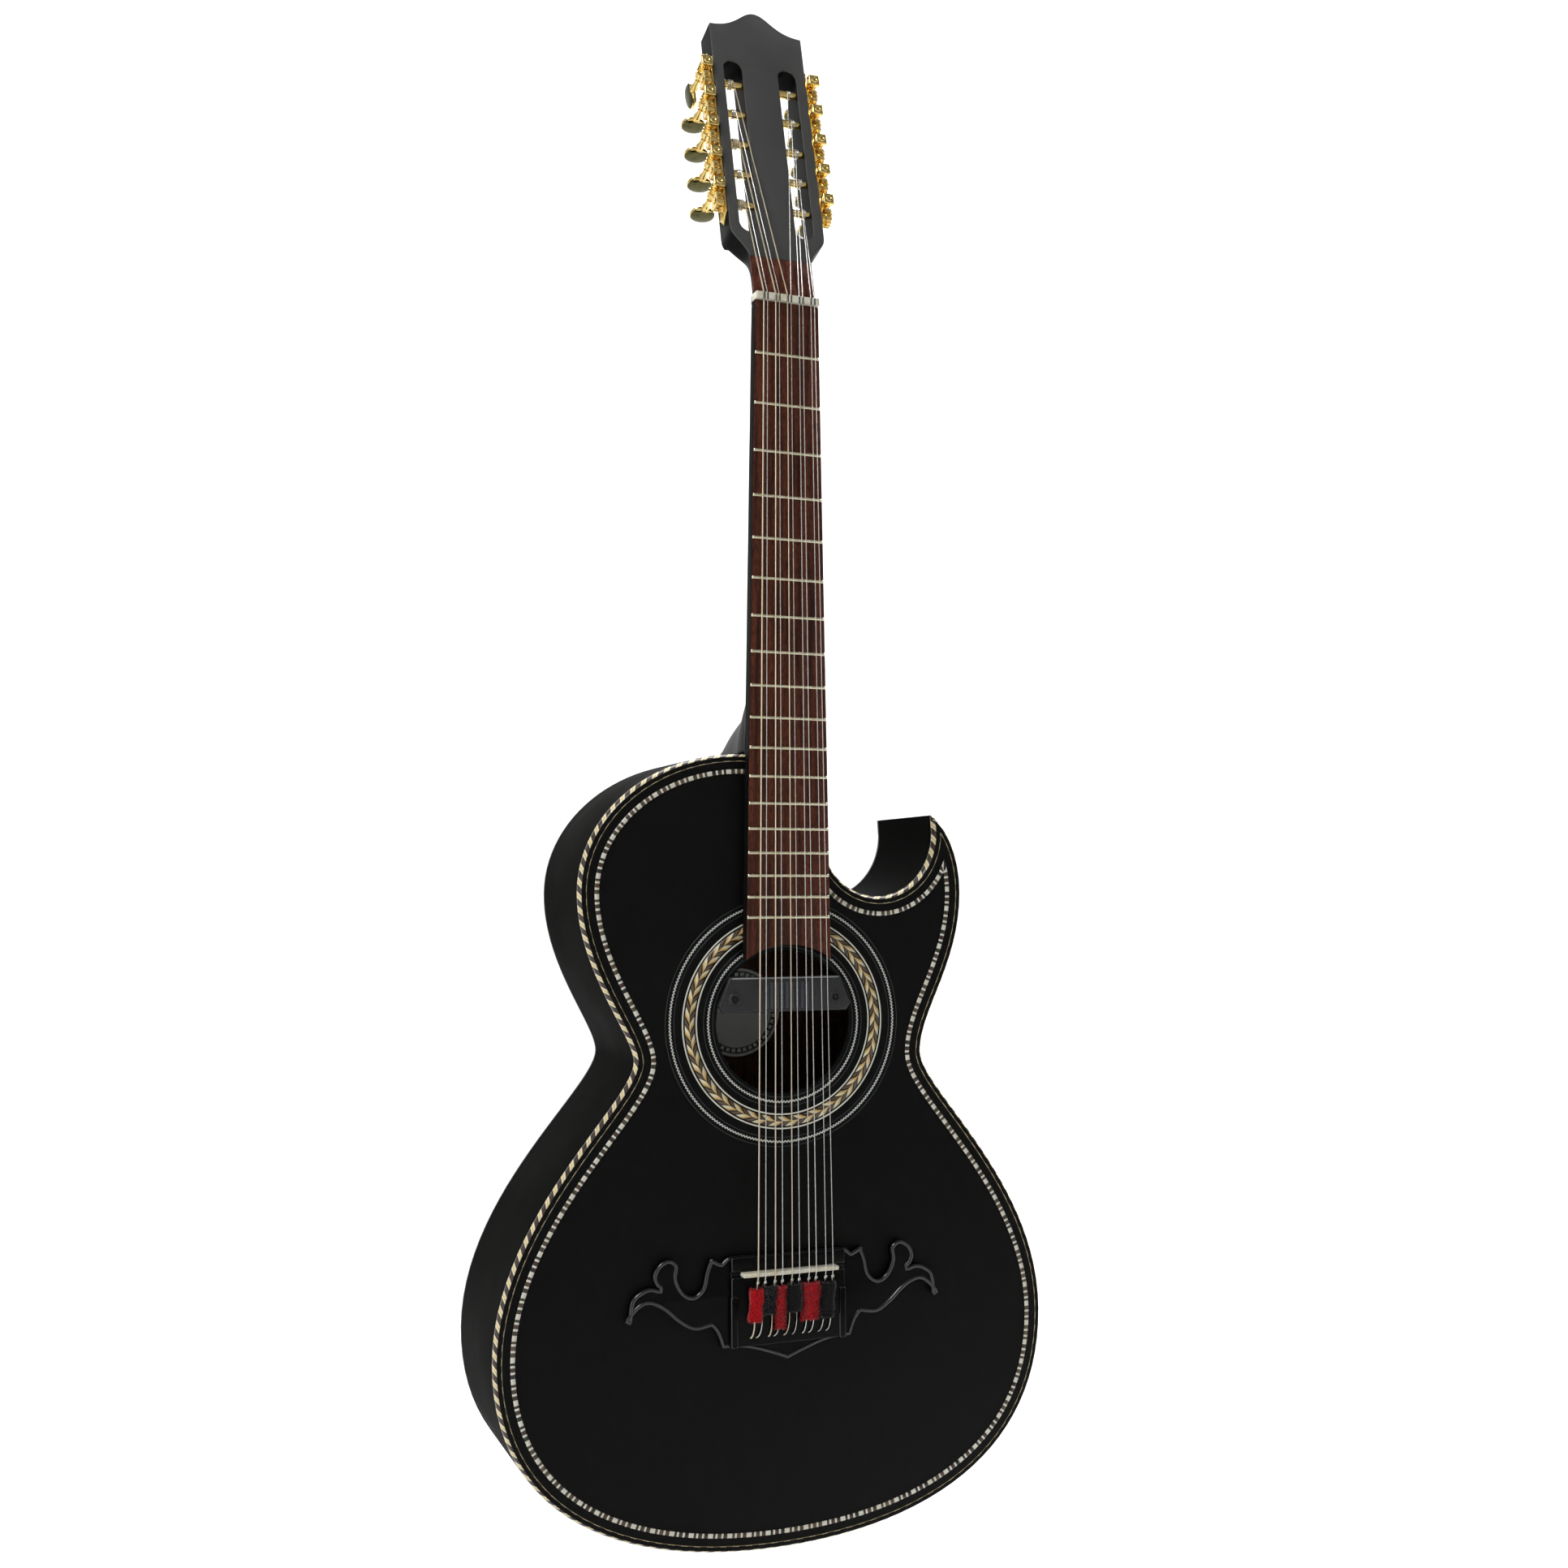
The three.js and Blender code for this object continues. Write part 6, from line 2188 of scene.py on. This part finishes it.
        join(bm, flat_plate([wheel], gear, gear_end, round_front=0.25, round_back=0.25, steps=2))
        turn = Matrix.Rotation(-self.side.value * math.pi / 2, 4, "Z")
        spot = Matrix.Translation((0, HEAD.roller_depth, HEAD.rise(k)))
        finish_piece(bm, body + "_axle", [GOLD], body, replaces=[body],
                     place=HEAD.place @ spot @ turn, crease=35)
        index = k if self.side is Side.BASS else 9 - k
        radius = STRINGS.radii[index]
        coil = []
        x = self.across(HEAD.winding(k))
        reach = r + radius * 0.9
        for i in range(int(self.windings * 24) + 1):
            angle = 2 * math.pi * i / 24
            point = (x + self.across(2.2 * radius * i / 24), HEAD.roller_depth - reach * math.cos(angle),
                     HEAD.rise(k) + reach * math.sin(angle))
            coil.append(HEAD.place @ Vector(point))
        finish = WOUND_WIRE if radius > STRINGS.wound else STEEL_WIRE
        wire(body + "_winding", [coil], radius * 0.9, finish, body, sides=8)

    def button(self, k: int) -> None:
        """A worm with its helix, a turned neck and an oval button whose broad faces carry painted shade.

        Args:
            k: Its place up the head, from 0.
        """
        body = self.name("button", k)
        front = HEAD.roller_depth - HEAD.worm_length / 2
        back = HEAD.roller_depth + HEAD.worm_length / 2
        start = back + 2 * LAYOUT.gap + HEAD.lug
        end = start + HEAD.neck_length
        r = HEAD.neck_radius
        core = HEAD.worm_radius - 1.1
        profile = [(0, front - 3.0), (1.6, front - 3.0), (1.6, front), (core, front), (core, back),
                   (1.6, back),
                   (1.6, start), (r * 0.9, start), (r, start + 0.6), (r, start + 1.6),
                   (r * 0.62, start + 2.4),
                   (r * 0.62, start + 3.0), (r * 0.92, start + 3.8), (r * 0.92, start + 4.6),
                   (r * 0.6, start + 5.4),
                   (r * 0.66, start + 9.0), (r * 0.85, start + 11.5), (r * 1.0, start + 12.6),
                   (r * 1.0, start + 13.6), (r * 0.7, start + 14.6), (r * 0.9, end + 0.8), (0, end + 1.2)]
        bm = lathe(profile, 24)
        thread = bmesh.new()
        pitch = 2 * math.pi * HEAD.gear_radius / HEAD.teeth * 0.82
        turns = (HEAD.worm_length - 1.4) / pitch
        tooth = [(core - 0.1, -0.85), (HEAD.worm_radius - 0.1, -0.35), (HEAD.worm_radius - 0.1, 0.35),
                 (core - 0.1, 0.85)]
        points = [thread.verts.new((x, front + 0.85 + y * 0.8, 0)) for x, y in tooth]
        thread.faces.new(points)
        steps = int(turns * 24)
        bmesh.ops.spin(thread, geom=thread.faces[:] + thread.edges[:] + thread.verts[:], cent=(0, 0, 0),
                       axis=(0, 1, 0), angle=2 * math.pi * turns, steps=steps,
                       dvec=(0, (HEAD.worm_length - 1.7) / steps, 0), use_merge=False, use_duplicate=False)
        bmesh.ops.recalc_face_normals(thread, faces=thread.faces)
        join(bm, thread)
        oval = bmesh.new()
        bmesh.ops.create_uvsphere(oval, u_segments=32, v_segments=20, radius=1.0)
        wide, tall, thick = HEAD.button
        for vertex in oval.verts:
            x, y, z = vertex.co
            flat = math.copysign(abs(z) ** 0.75, z)
            grow = 1 + 0.10 * abs(x) ** 3
            vertex.co = Vector((wide * x, tall * y * grow, thick * flat * (0.82 + 0.18 * abs(x) ** 2)))
        join(bm, oval, place=Matrix.Translation((0, end + tall - 1, 0)))
        edge_on = self.side is Side.BASS and k == 4
        turn = Matrix.Rotation(math.radians(80 if edge_on else 0), 4, "Y")
        spot = Matrix.Translation((self.across(HEAD.worm_x), 0, HEAD.rise(k) + HEAD.offset))
        # Painted shade: the button's broad flat faces take the darkened gold, its rims and neck the bright
        # gold.
        for face in bm.faces:
            face.normal_update()
            face.material_index = int(abs(face.normal.z) < 0.6 or face.calc_center_median().y < end + 1.5)
        finish_piece(bm, body + "_turned", [SHADED_BUTTON_GOLD, GOLD], body, replaces=[body],
                     place=HEAD.place @ spot @ turn, crease=45)

    def build(self) -> None:
        """Build the row."""
        self.plate()
        for k in range(5):
            self.roller(k)
            self.button(k)


# --- Whole instrument ---


def main() -> None:
    """Build everything in order."""
    for part in (Studio(), Soundbox(), Rosette(), NECK, Bridge(), Ribbons(), Pickup(), STRINGS, HEAD):
        part.build()
        log.info("%s done", type(part).__name__)


if __name__ == "__main__":
    main()
